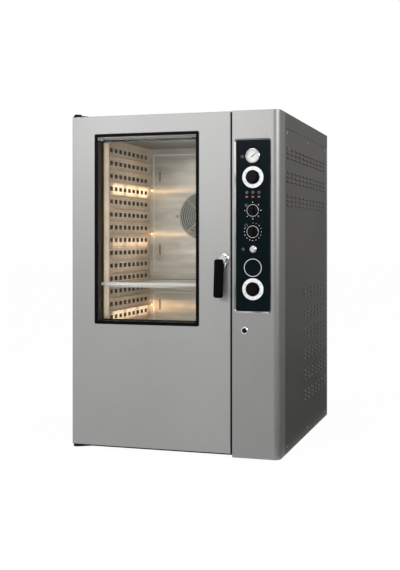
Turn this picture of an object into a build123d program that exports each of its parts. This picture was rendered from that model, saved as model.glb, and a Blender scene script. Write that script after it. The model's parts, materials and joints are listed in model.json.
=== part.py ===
from build123d import *
import math
import os

# Convection oven in separate pieces. Millimetres, +Z up.
# The origin is the middle of the base on the floor. The front faces -Y, the hinges are at -X.
# Depths are counted from the front face of the door and of the control column.

# Overall size
overall_width = 1040.0
overall_depth = 1262.0
overall_height = 1620.0

# Sheet metal and clearances
sheet = 1.5
heavy_sheet = 2.0
base_plate = 3.0
seam = 1.5
touch = 0.3
running_gap = 0.05

# Body
body_setback = 72.0
base_setback = 50.0
sill_height = 13.0
sill_depth = 26.0
upstand_height = 60.0
rail_width = 40.0
rail_inset = 30.0
rail_front = 100.0
roof_band = 73.0
rear_flange = 34.0
side_fold = 18.0
right_upstand_front = 200.0
front_frame_right = 400.0

# Control column
column_left = 292.3
column_side_depth = 120.0
column_corner = 30.0
column_edge = 3.0

# Door
door_right = 285.0
door_bottom = 16.0
door_top_gap = 2.0
door_thickness = 64.0
door_edge = 3.0
pin_inset = 20.0
pin_depth = 24.0
pin_radius = 6.0
bush_radius = 10.0
bush_flange_radius = 14.0
bush_length = 30.0
bracket_radius = 22.0
bracket_thickness = 6.0
bracket_back = 150.0
bracket_width = 60.0
lower_bracket_width = 98.0
bracket_boss_radius = 18.0
bracket_boss_height = 12.0
bracket_bolt_radius = 8.0
bracket_bolt_head = 5.0
bracket_bolt_inset = 30.0
bracket_bolt_depths = (100, 132)
pin_head_radius = 9.0
pin_head_height = 3.0
pin_bush_gap = 2.0
gasket_width = 10.0
gasket_margin = 1.0

# Window in the door
window_left = -401.4
window_right = 131.3
window_low = 607.5
window_high = 1531.0
window_border = 15.0
window_corner = 8.0
trim_proud = 2.0
trim_lap = 2.0
trim_depth = 10.0
glass_lap = 6.0
outer_glass = 5.0
inner_glass = 4.0
inner_glass_depth = 56.0
reveal_lip = 6.0
bar_height = 16.0
bar_centre = 800.5
bar_depth = 48.0

# Oven chamber
chamber_left = -361.0
chamber_right = 246.0
chamber_floor = 98.0
chamber_ceiling = 1515.0
chamber_lip = 18.0
duct_width = 70.0
post_width = 26.0
post_depth = 82.0
baffle_depth = 677.0
liner_depth = 810.0
insulation = 50.0

# Perforations, tray runners and middle shelf
hole_columns = 9
hole_rows = 22
hole_pitch = 61.4
hole_first_depth = 117.0
row_pitch = 64.0
row_top = 1463.0
hole_length = 32.0
hole_height = 15.0
post_fold = 18.0
runner_width = 14.0
runner_height = 12.0
runner_front_gap = 14.0
runner_back_gap = 16.0
shelf_row = 10
shelf_lip = 16.0
shelf_front_gap = 2.0

# Back baffles, lamps and screws
baffle_gap = 20.0
baffle_fold = 14.0
inlet_lap = 8.0
slot_inset = 57.0
slot_width = 7.0
slot_length = 57.0
slot_above_fan = 219.0
slot_below_fan = 182.0
lamp_radius = 11.0
lamp_inset = 13.0
lamp_base = 4.0
lamp_proud = 14.0
screw_radius = 5.0
baffle_screw_head = 3.0
baffle_screw_rise = 150.0
baffle_screw_drop = 239.0
baffle_screw_upper_inset = 44.0
baffle_screw_lower_inset = 50.0
inner_screw_offset = 142.0
inner_screw_drop = 163.0
side_screw_head = 2.0
side_screw_low = 34.0
side_screw_front = 34.0
side_screw_middle = 660.0
side_screw_back = 60.0
side_screw_drop = 20.0
probe_radius = 3.0
probe_length = 46.0
probe_base_radius = 9.0
probe_base_height = 4.0
probe_grille_gap = 12.0

# Fans, motors and heat exchangers
upper_fan_height = 1145.0
lower_fan_height = 445.0
grille_radius = 132.0
grille_ring = 6.0
grille_ring_pitch = 12.0
grille_thickness = 3.0
grille_rim_gap = 2.0
grille_spokes = 4
fan_radius = 150.0
fan_width = 70.0
fan_blades = 24
blade_inset = 24.0
blade_length = 40.0
blade_lean = 28.0
front_ring_width = 42.0
wheel_clearance = 30.0
wheel_hub_radius = 26.0
hub_length = 30.0
shaft_radius = 9.0
shaft_clearance = 3.0
shaft_in_motor = 60.0
shaft_nut_radius = 14.0
shaft_nut_height = 8.0
motor_radius = 75.0
motor_length = 190.0
motor_plate = 6.0
motor_plate_half = 100.0
motor_fins = 20
fin_height = 10.0
fin_thickness = 3.0
fin_back_gap = 20.0
fin_front_gap = 30.0
motor_bore = 70.0
terminal_half = 35.0
terminal_front = 60.0
terminal_back = 130.0
terminal_low = 60.0
terminal_top = 100.0
exchanger_gap = 45.0
exchanger_tube = 14.0
exchanger_pitch = 45.0
manifold_depth = 100.0
manifold_half = 45.0
manifold_lap = 10.0
manifold_rise = 30.0
foot_half = 30.0
foot_drop = 20.0

# Burner and electrical box in the machine compartment
machine_gap = 6.0
burner_right = 500.0
burner_front = 300.0
burner_back = 560.0
burner_top = 180.0
blower_offset = 60.0
blower_height = 250.0
blower_radius = 55.0
blower_front = 330.0
blower_back = 430.0
blower_neck_half = 30.0
box_width = 70.0
box_front = 260.0
box_back = 560.0
box_low = 900.0
box_high = 1300.0
box_wall = 2.0
board_thickness = 28.0
board_margin = 40.0

# Control fascia
fascia_left = 312.3
fascia_right = 471.3
fascia_low = 686.0
fascia_high = 1479.0
fascia_corner = 6.0
fascia_thickness = 3.0
recess_lip = 9.0
recess_depth = 8.0
recess_ledge = 12.0

# Controls, heights of their centres
gauge_height = 1407.0
upper_dial_height = 1308.0
lamp_height = 1217.0
steam_knob_height = 1153.0
timer_knob_height = 1054.0
push_button_height = 972.5
badge_height = 887.0
lower_dial_height = 787.0
reset_centre_x = 353.0
reset_height = 594.0
lamp_pitch = 29.0
lens_half_width = 5.8
lens_half_height = 3.3
lens_body_half_width = 7.0
lens_body_half_height = 6.0
lens_body_end = 20.0
lens_proud = 1.2

# Control sizes
gauge_radius = 33.0
gauge_case_radius = 29.5
gauge_proud = 7.0
gauge_case_end = 42.0
gauge_stub_radius = 12.0
gauge_stub_end = 56.0
needle_angle = 52.0
dial_radius = 50.4
dial_knob_radius = 32.7
dial_knob_height = 26.0
dial_grip_radius = 25.0
dial_flutes = 24
small_ring_radius = 29.6
small_knob_radius = 24.5
small_knob_height = 22.0
control_shaft_radius = 4.0
push_radius = 12.0
push_bezel_radius = 17.0
push_travel = 3.0
badge_radius = 42.5
badge_width = 3.5
badge_proud = 1.6
reset_radius = 10.0
reset_bezel_radius = 17.3
reset_travel = 4.0
push_stem_end = 20.0
reset_stem_end = 14.0
stem_radius = 3.0
shaft_end = 24.0
dial_switch_half = 26.0
dial_switch_length = 48.0
knob_switch_half = 22.0
knob_switch_length = 40.0
button_switch_half = 15.0
button_switch_length = 20.0

# Handle and latch
handle_x = 255.0
handle_height = 927.0
rose_radius = 24.0
rose_thickness = 6.0
rose_neck_radius = 13.0
spindle_radius = 8.0
hub_radius = 20.6
hub_screw_radius = 3.5
hub_screw_rise = 9.0
hub_front = 36.0
hub_back = 20.0
grip_width = 44.0
grip_thickness = 20.0
grip_length = 180.0
grip_corner = 12.0
grip_stand = 34.0
grip_drop = 1.0
grip_flare = 5.5
grip_side_shift = -15.4
arm_thickness = 5.0
arm_length = 62.0
grip_screw_radius = 4.5
grip_screw_height = 2.2
grip_screw_shift = 6.0
grip_screw_places = (0.45, 0.82)
cam_radius = 12.0
cam_peg_radius = 3.0
cam_peg_offset = 8.0
cam_depth = 30.0
cam_thickness = 6.0
bolt_thickness = 8.0
bolt_height = 24.0
bolt_tip_gap = 1.1
case_wall = 4.0
case_left_reach = 34.0
case_drop = 12.0
case_rise = 26.0
bolt_left_reach = 18.0
striker_front = 22.0
striker_back = 60.0
striker_drop = 36.0
striker_rise = 24.0
striker_mouth_front = 33.0
striker_mouth_back = 49.0
striker_mouth_drop = 22.0
striker_mouth_rise = 10.0
striker_mouth_margin = 2.0

# Louvres of the right side
louvre_length = 56.0
louvre_height = 9.0
louvre_proud = 5.0
louvre_wall = 1.2
louvre_pitch = 94.9
louvre_row_pitch = 22.0
louvre_rows = 3
upper_louvre_columns = 11
upper_louvre_depth = 197.0
upper_louvre_height = 1431.0
upper_louvre_groups = 3
upper_louvre_group_pitch = 113.0
lower_louvre_columns = 7
lower_louvre_depth = 600.0
lower_louvre_height = 741.0
lower_louvre_groups = 6
lower_louvre_group_pitch = 106.0

# Pipes at the back and on the roof
flue_radius = 60.0
flue_rise = 70.0
vent_radius = 25.0
vent_rise = 50.0
collar_width = 15.0
pipe_wall = 2.0
pipe_stub = 30.0
stub_inside = 40.0
stub_collar = 8.0
stub_nut = 5.0
stub_flange = 4.0
roof_pipe_inside = 40.0
roof_flange = 3.0
gas_radius = 13.2
water_radius = 10.5
gland_radius = 10.5
cable_radius = 6.5
drain_radius = 16.0
service_x = 430.0
gas_height = 150.0
water_height = 230.0
cable_height = 310.0
drain_x = -110.0
drain_depth = 420.0
drain_height = 25.0
flue_depth = 1080.0
vent_x = -250.0

# Sizes that follow from the ones above
side = overall_width / 2
back = overall_depth / 2
fan_x = (chamber_left + chamber_right) / 2
mouth_left = chamber_left - post_width - 1.0
mouth_right = chamber_right + post_width + 1.0
mouth_low = chamber_floor + 6.0
mouth_high = chamber_ceiling - chamber_lip
liner_left = chamber_left - duct_width - sheet
liner_right = chamber_right + duct_width + sheet
liner_low = chamber_floor - sheet
liner_high = chamber_ceiling + sheet
wool_left = liner_left - insulation
wool_right = liner_right + insulation
wool_low = liner_low - insulation
wool_high = liner_high + insulation
wool_back = liner_depth + sheet + insulation
frame_back = body_setback + sheet
roof_under = overall_height - sheet
door_top = overall_height - door_top_gap
pin_x = -side + pin_inset
control_x = (fascia_left + fascia_right) / 2
fascia_face = recess_depth - fascia_thickness
dial_heights = (upper_dial_height, lower_dial_height)
knob_heights = (steam_knob_height, timer_knob_height)
shelf_level = row_top - (shelf_row + 0.5) * row_pitch
lamp_heights = (
    upper_fan_height + 145,
    upper_fan_height - 93,
    lower_fan_height + 213,
    lower_fan_height - 100,
)


def y_at(depth):
    """Y of a depth behind the front face."""
    return depth - back


def upright(depth):
    """Plane facing the front at a depth. A sketch on it is drawn in X and Z."""
    return Plane.XZ.offset(-y_at(depth))


def block(x0, x1, d0, d1, z0, z1, mode=Mode.ADD):
    """Square block between two values of X, of depth and of height."""
    with Locations(((x0 + x1) / 2, y_at((d0 + d1) / 2), (z0 + z1) / 2)):
        Box(x1 - x0, d1 - d0, z1 - z0, mode=mode)


def rod_back(x, z, d0, d1, radius, mode=Mode.ADD):
    """Round rod from front to back."""
    with Locations(Location((x, y_at((d0 + d1) / 2), z), (90, 0, 0))):
        Cylinder(radius, d1 - d0, mode=mode)


def rod_up(x, depth, z0, z1, radius, mode=Mode.ADD):
    """Round upright rod."""
    with Locations((x, y_at(depth), (z0 + z1) / 2)):
        Cylinder(radius, z1 - z0, mode=mode)


def turned(x, z, outline, mode=Mode.ADD):
    """Turned shape about a front-to-back line, from its outline in radius and depth."""
    cut_plane = Plane(origin=(x, y_at(0), z), x_dir=(1, 0, 0), z_dir=(0, 0, 1))
    with BuildSketch(cut_plane) as profile:
        with BuildLine():
            Polyline(*outline, close=True)
        make_face()
    revolve(profile.sketch, axis=Axis((x, y_at(0), z), (0, 1, 0)), mode=mode)


def window_face(depth, inset, corner):
    """Rounded rectangle of the window's outer edge, brought in by an inset."""
    with BuildSketch(upright(depth)) as face:
        with Locations(((window_left + window_right) / 2, (window_low + window_high) / 2)):
            RectangleRounded(
                window_right - window_left - 2 * inset,
                window_high - window_low - 2 * inset,
                max(corner, 0.5),
            )
    return face.sketch


def finish(piece, name):
    """Names a piece and writes its file."""
    piece.part.label = name
    export_step(piece.part, f"parts/{name}.step")


os.makedirs("parts", exist_ok=True)

# Base pan: bottom plate, sill under the door and upstands inside the side panels
base_left = -side + sheet
base_right = side - heavy_sheet
base_back = overall_depth - sheet
with BuildPart() as base_pan:
    with BuildSketch():
        with BuildLine():
            Polyline(
                (base_left, y_at(base_setback)),
                (column_left, y_at(base_setback)),
                (column_left, y_at(body_setback)),
                (column_left + heavy_sheet, y_at(body_setback)),
                (column_left + heavy_sheet, y_at(heavy_sheet)),
                (base_right, y_at(heavy_sheet)),
                (base_right, y_at(base_back)),
                (base_left, y_at(base_back)),
                close=True,
            )
        make_face()
        front_right = vertices().sort_by(Axis.Y)[0:2].sort_by(Axis.X)[-1]
        fillet(front_right, column_corner - heavy_sheet)
    extrude(amount=base_plate)
    block(base_left, column_left, base_setback, base_setback + sill_depth, base_plate, sill_height)
    block(column_left, front_frame_right, body_setback, base_setback + sill_depth, base_plate, sill_height)
    block(base_left, base_left + sheet, base_setback + sill_depth, base_back, base_plate, upstand_height)
    block(base_right - sheet, base_right, right_upstand_front, base_back, base_plate, upstand_height)
    block(base_left, base_right, base_back - sheet, base_back, base_plate, upstand_height)
    rod_back(drain_x, drain_height, base_back - 9, base_back + 9, drain_radius + touch, Mode.SUBTRACT)

# Support rails: square tubes from front to back that carry the chamber on the pan
with BuildPart() as support_rails:
    for rail_x in (liner_left + rail_inset, fan_x, liner_right - rail_inset):
        low = base_plate
        high = wool_low
        half = rail_width / 2
        inner = half - heavy_sheet
        block(rail_x - half, rail_x + half, rail_front, wool_back, low, high)
        block(
            rail_x - inner,
            rail_x + inner,
            rail_front,
            wool_back,
            low + heavy_sheet,
            high - heavy_sheet,
            Mode.SUBTRACT,
        )
base_frame = Compound(label="base_frame", children=[base_pan.part.solid(), *support_rails.part.solids()])
export_step(base_frame, "parts/base_frame.step")

# Front frame: the face round the chamber's mouth, with its inner lip
with BuildPart() as front_frame:
    frame_top = overall_height - heavy_sheet
    block(-side + sheet, front_frame_right, body_setback, frame_back, sill_height, frame_top)
    block(
        mouth_left - sheet,
        mouth_right + sheet,
        frame_back,
        post_depth,
        mouth_low - sheet,
        mouth_high + sheet,
    )
    block(mouth_left, mouth_right, body_setback, post_depth, mouth_low, mouth_high, Mode.SUBTRACT)
finish(front_frame, "front_frame")

# Left side panel with its folded front and rear edges
with BuildPart() as left_side_panel:
    panel_top = overall_height - roof_band - seam
    panel_back = overall_depth - rear_flange - seam
    block(-side, -side + sheet, body_setback, panel_back, 0, panel_top)
    block(-side + sheet, -side + side_fold, panel_back - sheet, panel_back, upstand_height, panel_top)
finish(left_side_panel, "left_side_panel")


def louvre_tools():
    """One louvre facing +X at the origin: its hood, and the slot that it covers."""
    half = louvre_height / 2
    with BuildPart() as hood:
        with BuildSketch(Plane.XZ.offset(-louvre_length / 2)):
            with BuildLine():
                Polyline(
                    (-sheet / 2, half + louvre_wall),
                    (0, half + louvre_wall),
                    (louvre_proud, -half),
                    (louvre_proud - louvre_wall, -half),
                    (-sheet / 2, half - 0.5),
                    close=True,
                )
            make_face()
        extrude(amount=louvre_length)
    with BuildPart() as slot:
        Box(4 * sheet, louvre_length - 2 * louvre_wall, louvre_height)
    return hood.part, slot.part


hood, slot = louvre_tools()


def louvre_heights(top, groups, group_pitch):
    """Heights of the rows: groups of rows below each other."""
    rows = []
    for group in range(groups):
        for row in range(louvre_rows):
            rows.append(top - group * group_pitch + (1 - row) * louvre_row_pitch)
    return rows


# Right side panel with pressed louvres
side_louvres = []
for column in range(upper_louvre_columns):
    for height in louvre_heights(upper_louvre_height, upper_louvre_groups, upper_louvre_group_pitch):
        depth = upper_louvre_depth + column * louvre_pitch
        side_louvres.append(Location((side, y_at(depth), height)))
for column in range(lower_louvre_columns):
    for height in louvre_heights(lower_louvre_height, lower_louvre_groups, lower_louvre_group_pitch):
        depth = lower_louvre_depth + column * louvre_pitch
        side_louvres.append(Location((side, y_at(depth), height)))
with BuildPart() as right_side_panel:
    panel_front = column_side_depth + seam
    block(side - sheet, side, panel_front, panel_back, 0, panel_top)
    with Locations(*side_louvres):
        add(slot, mode=Mode.SUBTRACT)
    with Locations(*side_louvres):
        add(hood)
finish(right_side_panel, "right_side_panel")

# Roof panel: top sheet and the bands folded down at its sides and back
with BuildPart() as roof_panel:
    with BuildSketch(Plane.XY.offset(roof_under)):
        with BuildLine():
            Polyline(
                (-side, y_at(body_setback)),
                (column_left - touch, y_at(body_setback)),
                (column_left - touch, y_at(column_side_depth + seam)),
                (side, y_at(column_side_depth + seam)),
                (side, back),
                (-side, back),
                close=True,
            )
        make_face()
    extrude(amount=sheet)
    band_low = overall_height - roof_band
    block(-side, -side + sheet, body_setback, overall_depth, band_low, roof_under)
    block(side - sheet, side, column_side_depth + seam, overall_depth, band_low, roof_under)
    block(-side, side, overall_depth - sheet, overall_depth, band_low, roof_under)
    rod_up(fan_x, flue_depth, roof_under - 1, overall_height + 1, flue_radius + touch, Mode.SUBTRACT)
    rod_up(vent_x, flue_depth, roof_under - 1, overall_height + 1, vent_radius + touch, Mode.SUBTRACT)
finish(roof_panel, "roof_panel")

# Rear cover: pan with side flanges, motor louvres and holes for the services
rear_louvres = []
for height in louvre_heights(upper_fan_height + 60, 2, upper_fan_height - lower_fan_height):
    for column in range(-3, 4):
        rear_louvres.append(Location((fan_x + column * louvre_pitch, back, height), (0, 0, 90)))
with BuildPart() as rear_cover:
    block(-side, side, overall_depth - sheet, overall_depth, 0, panel_top)
    block(-side, -side + sheet, overall_depth - rear_flange, overall_depth, 0, panel_top)
    block(side - sheet, side, overall_depth - rear_flange, overall_depth, 0, panel_top)
    with Locations(*rear_louvres):
        add(slot, mode=Mode.SUBTRACT)
    with Locations(*rear_louvres):
        add(hood)
    for hole_z, radius in (
        (gas_height, gas_radius),
        (water_height, water_radius),
        (cable_height, gland_radius),
    ):
        rod_back(service_x, hole_z, overall_depth - 5, overall_depth + 5, radius + touch, Mode.SUBTRACT)
    rod_back(
        drain_x, drain_height, overall_depth - 5, overall_depth + 5, drain_radius + touch, Mode.SUBTRACT
    )
finish(rear_cover, "rear_cover")

# Control column: folded sheet with a rounded corner, a cap and a pressed recess for the fascia
with BuildPart() as control_column:
    with BuildSketch() as column_outline:
        with BuildLine():
            Polyline(
                (column_left, y_at(0)),
                (side, y_at(0)),
                (side, y_at(column_side_depth)),
                (column_left, y_at(column_side_depth)),
                close=True,
            )
        make_face()
        front_points = vertices().sort_by(Axis.Y)[0:2].sort_by(Axis.X)
        fillet(front_points[0], column_edge)
        fillet(vertices().sort_by(Axis.Y)[0:3].sort_by(Axis.X)[-1], column_corner)
    extrude(amount=overall_height)
    with BuildSketch():
        with BuildLine():
            Polyline(
                (column_left + heavy_sheet, y_at(heavy_sheet)),
                (side - heavy_sheet, y_at(heavy_sheet)),
                (side - heavy_sheet, y_at(column_side_depth + 5)),
                (column_left + heavy_sheet, y_at(column_side_depth + 5)),
                close=True,
            )
        make_face()
        fillet(vertices().sort_by(Axis.Y)[0:2].sort_by(Axis.X)[-1], column_corner - heavy_sheet)
    extrude(amount=overall_height - heavy_sheet, mode=Mode.SUBTRACT)
    block(
        column_left - 1,
        column_left + heavy_sheet,
        body_setback,
        column_side_depth + 5,
        0,
        overall_height - heavy_sheet,
        Mode.SUBTRACT,
    )
    recess_z = (fascia_low + fascia_high) / 2
    recess_width = fascia_right - fascia_left
    recess_height = fascia_high - fascia_low
    for wall, mode in ((heavy_sheet, Mode.ADD), (0, Mode.SUBTRACT)):
        with BuildSketch(upright(0)) as mouth:
            with Locations((control_x, recess_z)):
                RectangleRounded(
                    recess_width + 2 * recess_lip + 2 * wall,
                    recess_height + 2 * recess_lip + 2 * wall,
                    fascia_corner + recess_lip,
                )
        with BuildSketch(upright(recess_depth + wall)) as floor:
            with Locations((control_x, recess_z)):
                RectangleRounded(recess_width + 2 * wall, recess_height + 2 * wall, fascia_corner)
        loft(mode=mode)
    block(
        fascia_left + recess_ledge,
        fascia_right - recess_ledge,
        recess_depth - 1,
        recess_depth + heavy_sheet + 1,
        fascia_low + recess_ledge,
        fascia_high - recess_ledge,
        Mode.SUBTRACT,
    )
    rod_back(reset_centre_x, reset_height, -1, 5, reset_radius + 2, Mode.SUBTRACT)
    block(
        column_left - 1,
        column_left + heavy_sheet + 1,
        striker_mouth_front - striker_mouth_margin,
        striker_mouth_back + striker_mouth_margin,
        handle_height - striker_mouth_drop - striker_mouth_margin,
        handle_height + striker_mouth_rise + striker_mouth_margin,
        Mode.SUBTRACT,
    )
finish(control_column, "control_column")

# Latch striker: plate with a mouth, let into the column's left flange
with BuildPart() as latch_striker:
    block(
        column_left + heavy_sheet,
        column_left + 2 * heavy_sheet,
        striker_front,
        striker_back,
        handle_height - striker_drop,
        handle_height + striker_rise,
    )
    block(
        column_left,
        column_left + 2 * heavy_sheet + 1,
        striker_mouth_front,
        striker_mouth_back,
        handle_height - striker_mouth_drop,
        handle_height + striker_mouth_rise,
        Mode.SUBTRACT,
    )
finish(latch_striker, "latch_striker")

# Liner: the chamber's outer shell, open at the front
with BuildPart() as oven_liner:
    block(liner_left, liner_right, frame_back, liner_depth + sheet, liner_low, liner_high)
    block(
        liner_left + sheet,
        liner_right - sheet,
        frame_back,
        liner_depth,
        liner_low + sheet,
        liner_high - sheet,
        Mode.SUBTRACT,
    )
    for fan_z in (upper_fan_height, lower_fan_height):
        shaft_hole = shaft_radius + shaft_clearance
        rod_back(fan_x, fan_z, liner_depth - 5, liner_depth + 5, shaft_hole, Mode.SUBTRACT)
    rod_up(drain_x, drain_depth, liner_low - 5, chamber_floor + 5, drain_radius - 3, Mode.SUBTRACT)
    rod_up(vent_x, liner_depth - 60, chamber_ceiling - 5, liner_high + 5, vent_radius - 4, Mode.SUBTRACT)
finish(oven_liner, "oven_liner")

# Insulation: mineral wool box round the liner
with BuildPart() as insulation_wool:
    block(wool_left, wool_right, frame_back, wool_back, wool_low, wool_high)
    block(
        liner_left, liner_right, frame_back, liner_depth + sheet, liner_low, liner_high, Mode.SUBTRACT
    )
    for fan_z in (upper_fan_height, lower_fan_height):
        tunnel_radius = shaft_radius + 2 * shaft_clearance
        rod_back(fan_x, fan_z, liner_depth, wool_back + 5, tunnel_radius, Mode.SUBTRACT)
    rod_up(drain_x, drain_depth, wool_low - 5, liner_low + 1, drain_radius + touch, Mode.SUBTRACT)
finish(insulation_wool, "insulation")


def duct_wall(wall_x, outward):
    """Perforated duct wall with its front post. Outward is -1 at the left and +1 at the right."""
    wall_low = min(wall_x, wall_x + outward * sheet)
    post_out = wall_x + outward * (post_width + 1.0 + sheet)
    p0, p1 = sorted((wall_x + outward * sheet, post_out))
    r0, r1 = sorted((post_out, post_out - outward * sheet))
    centre_depth = hole_first_depth + (hole_columns - 1) * hole_pitch / 2
    centre_height = row_top - (hole_rows - 1) * row_pitch / 2
    with BuildSketch(Plane.YZ.offset(wall_low)) as wall:
        with Locations((y_at((post_depth + baffle_depth) / 2), (chamber_floor + chamber_ceiling) / 2)):
            Rectangle(baffle_depth - post_depth, chamber_ceiling - chamber_floor)
        with Locations((y_at(centre_depth), centre_height)):
            with GridLocations(hole_pitch, row_pitch, hole_columns, hole_rows):
                Rectangle(hole_length, hole_height, mode=Mode.SUBTRACT)
    extrude(wall.sketch, amount=sheet)
    block(p0, p1, post_depth, post_depth + sheet, chamber_floor, chamber_ceiling)
    block(r0, r1, post_depth + sheet, post_depth + post_fold, chamber_floor, chamber_ceiling)


with BuildPart() as air_ducts:
    duct_wall(chamber_left, -1)
    duct_wall(chamber_right, 1)
finish(air_ducts, "air_ducts")

# Tray runners: angle rails on the duct walls, one between each two rows of holes
runner_levels = [
    row_top - (row + 0.5) * row_pitch for row in range(hole_rows - 1) if row != shelf_row
]
runner_front = post_depth + runner_front_gap
runner_back = baffle_depth - runner_back_gap
with BuildPart() as tray_runners:
    for wall_x, inward in ((chamber_left, 1), (chamber_right, -1)):
        ledge_x = wall_x + inward * runner_width / 2
        flange_x = wall_x + inward * sheet / 2
        runner_middle = y_at((runner_front + runner_back) / 2)
        with Locations(*[(ledge_x, runner_middle, level - sheet / 2) for level in runner_levels]):
            Box(runner_width, runner_back - runner_front, sheet)
        flange_drop = sheet + (runner_height - sheet) / 2
        with Locations(*[(flange_x, runner_middle, level - flange_drop) for level in runner_levels]):
            Box(sheet, runner_back - runner_front, runner_height - sheet)
finish(tray_runners, "tray_runners")

# Middle shelf: sheet with folded front and side edges between the duct walls
with BuildPart() as middle_shelf:
    shelf_top = shelf_level + shelf_lip / 2
    shelf_low = shelf_level - shelf_lip / 2
    shelf_front = post_depth + shelf_front_gap
    block(chamber_left, chamber_right, shelf_front, baffle_depth, shelf_low, shelf_top)
    block(
        chamber_left + sheet,
        chamber_right - sheet,
        shelf_front + sheet,
        baffle_depth,
        shelf_low,
        shelf_top - sheet,
        Mode.SUBTRACT,
    )
finish(middle_shelf, "middle_shelf")

# Back baffles with the fan inlets, hanging slots and screw holes
fan_heights = (upper_fan_height, lower_fan_height)
wheel_back = liner_depth - wheel_clearance
wheel_front = wheel_back - fan_width


def back_baffle(low, high, fan_z, fold_z):
    """Back wall of one chamber half, with a round fan inlet, upright slots and a folded edge."""
    block(chamber_left, chamber_right, baffle_depth, baffle_depth + sheet, low, high)
    fold_back = baffle_depth + baffle_fold
    block(chamber_left, chamber_right, baffle_depth + sheet, fold_back, fold_z, fold_z + sheet)
    rod_back(fan_x, fan_z, baffle_depth - 1, baffle_depth + 5, grille_radius - inlet_lap, Mode.SUBTRACT)
    for slot_x in (chamber_left + slot_inset, chamber_right - slot_inset):
        for slot_z in (fan_z + slot_above_fan, fan_z - slot_below_fan):
            block(
                slot_x - slot_width / 2,
                slot_x + slot_width / 2,
                baffle_depth - 1,
                baffle_depth + 5,
                slot_z - slot_length / 2,
                slot_z + slot_length / 2,
                Mode.SUBTRACT,
            )


upper_baffle_low = shelf_level + baffle_gap / 2
lower_baffle_high = shelf_level - baffle_gap / 2
with BuildPart() as back_baffles:
    back_baffle(upper_baffle_low, chamber_ceiling, upper_fan_height, upper_baffle_low)
    back_baffle(chamber_floor, lower_baffle_high, lower_fan_height, lower_baffle_high - sheet)
finish(back_baffles, "back_baffles")

# Inlet grilles: round plates of concentric ribs in front of the fans
with BuildPart() as inlet_grilles:
    for fan_z in fan_heights:
        with BuildSketch(upright(baffle_depth)) as ribs:
            with Locations((fan_x, fan_z)):
                Circle(grille_radius)
                Circle(grille_radius - grille_ring, mode=Mode.SUBTRACT)
                ring = grille_radius - grille_ring_pitch - grille_rim_gap
                while ring > 2 * grille_ring:
                    Circle(ring)
                    Circle(ring - grille_ring, mode=Mode.SUBTRACT)
                    ring -= grille_ring_pitch
                Circle(ring + grille_rim_gap)
                with PolarLocations(grille_radius / 2, grille_spokes, 45):
                    Rectangle(grille_radius - grille_rim_gap, grille_ring)
        extrude(amount=grille_thickness)
finish(inlet_grilles, "inlet_grilles")


def fan_on_shaft(name, fan_z):
    """Radial fan wheel: back disc, blades, front ring and hub, and its shaft with a nut."""
    nut_seat = wheel_back - hub_length
    with BuildPart() as wheel:
        rod_back(fan_x, fan_z, wheel_back - heavy_sheet, wheel_back, fan_radius)
        rod_back(fan_x, fan_z, nut_seat, wheel_back, wheel_hub_radius)
        with BuildSketch(upright(wheel_back - heavy_sheet)) as blades:
            with Locations((fan_x, fan_z)):
                with PolarLocations(fan_radius - blade_inset, fan_blades):
                    Rectangle(blade_length, heavy_sheet, rotation=blade_lean)
        extrude(amount=fan_width - heavy_sheet)
        with BuildSketch(upright(wheel_front + heavy_sheet)) as front_ring:
            with Locations((fan_x, fan_z)):
                Circle(fan_radius)
                Circle(fan_radius - front_ring_width, mode=Mode.SUBTRACT)
        extrude(amount=heavy_sheet)
        rod_back(fan_x, fan_z, wheel_front, wheel_back + 1, shaft_radius, Mode.SUBTRACT)
    with BuildPart() as shaft:
        rod_back(fan_x, fan_z, nut_seat - shaft_nut_height, wool_back + shaft_in_motor, shaft_radius)
        with BuildSketch(upright(nut_seat)) as nut:
            with Locations((fan_x, fan_z)):
                RegularPolygon(shaft_nut_radius, 6)
        extrude(amount=shaft_nut_height)
    fan = Compound(label=name, children=[wheel.part.solid(), shaft.part.solid()])
    export_step(fan, f"parts/{name}.step")


fan_on_shaft("upper_fan", upper_fan_height)
fan_on_shaft("lower_fan", lower_fan_height)

# Fan motors with mounting plates, cooling fins and terminal boxes, behind the insulation
with BuildPart() as fan_motors:
    motor_back = wool_back + motor_length
    for fan_z in fan_heights:
        block(
            fan_x - motor_plate_half,
            fan_x + motor_plate_half,
            wool_back,
            wool_back + motor_plate,
            fan_z - motor_plate_half,
            fan_z + motor_plate_half,
        )
        rod_back(fan_x, fan_z, wool_back + motor_plate, motor_back, motor_radius)
        with BuildSketch(upright(motor_back - fin_back_gap)) as fins:
            with Locations((fan_x, fan_z)):
                with PolarLocations(motor_radius + 2, motor_fins):
                    Rectangle(fin_height, fin_thickness)
        extrude(amount=motor_length - fin_back_gap - fin_front_gap)
        block(
            fan_x - terminal_half,
            fan_x + terminal_half,
            wool_back + terminal_front,
            wool_back + terminal_back,
            fan_z + terminal_low,
            fan_z + terminal_top,
        )
        bore_end = wool_back + motor_bore
        rod_back(fan_x, fan_z, wool_back - 1, bore_end, shaft_radius + running_gap, Mode.SUBTRACT)
finish(fan_motors, "fan_motors")

# Heat exchangers: two ring tubes round each fan wheel, on blocks against the liner's back
with BuildPart() as heat_exchangers:
    ring_radius = fan_radius + exchanger_gap
    for fan_z in fan_heights:
        for ring_depth in (liner_depth - 2 * exchanger_pitch, liner_depth - exchanger_pitch):
            with Locations(Location((fan_x, y_at(ring_depth), fan_z), (90, 0, 0))):
                Torus(ring_radius, exchanger_tube)
        top = fan_z + ring_radius
        block(
            fan_x - manifold_half,
            fan_x + manifold_half,
            liner_depth - manifold_depth,
            liner_depth,
            top - manifold_lap,
            top + manifold_rise,
        )
        low = fan_z - ring_radius
        block(
            fan_x - foot_half,
            fan_x + foot_half,
            liner_depth - manifold_depth,
            liner_depth,
            low - foot_drop,
            low,
        )
finish(heat_exchangers, "heat_exchangers")

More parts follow.
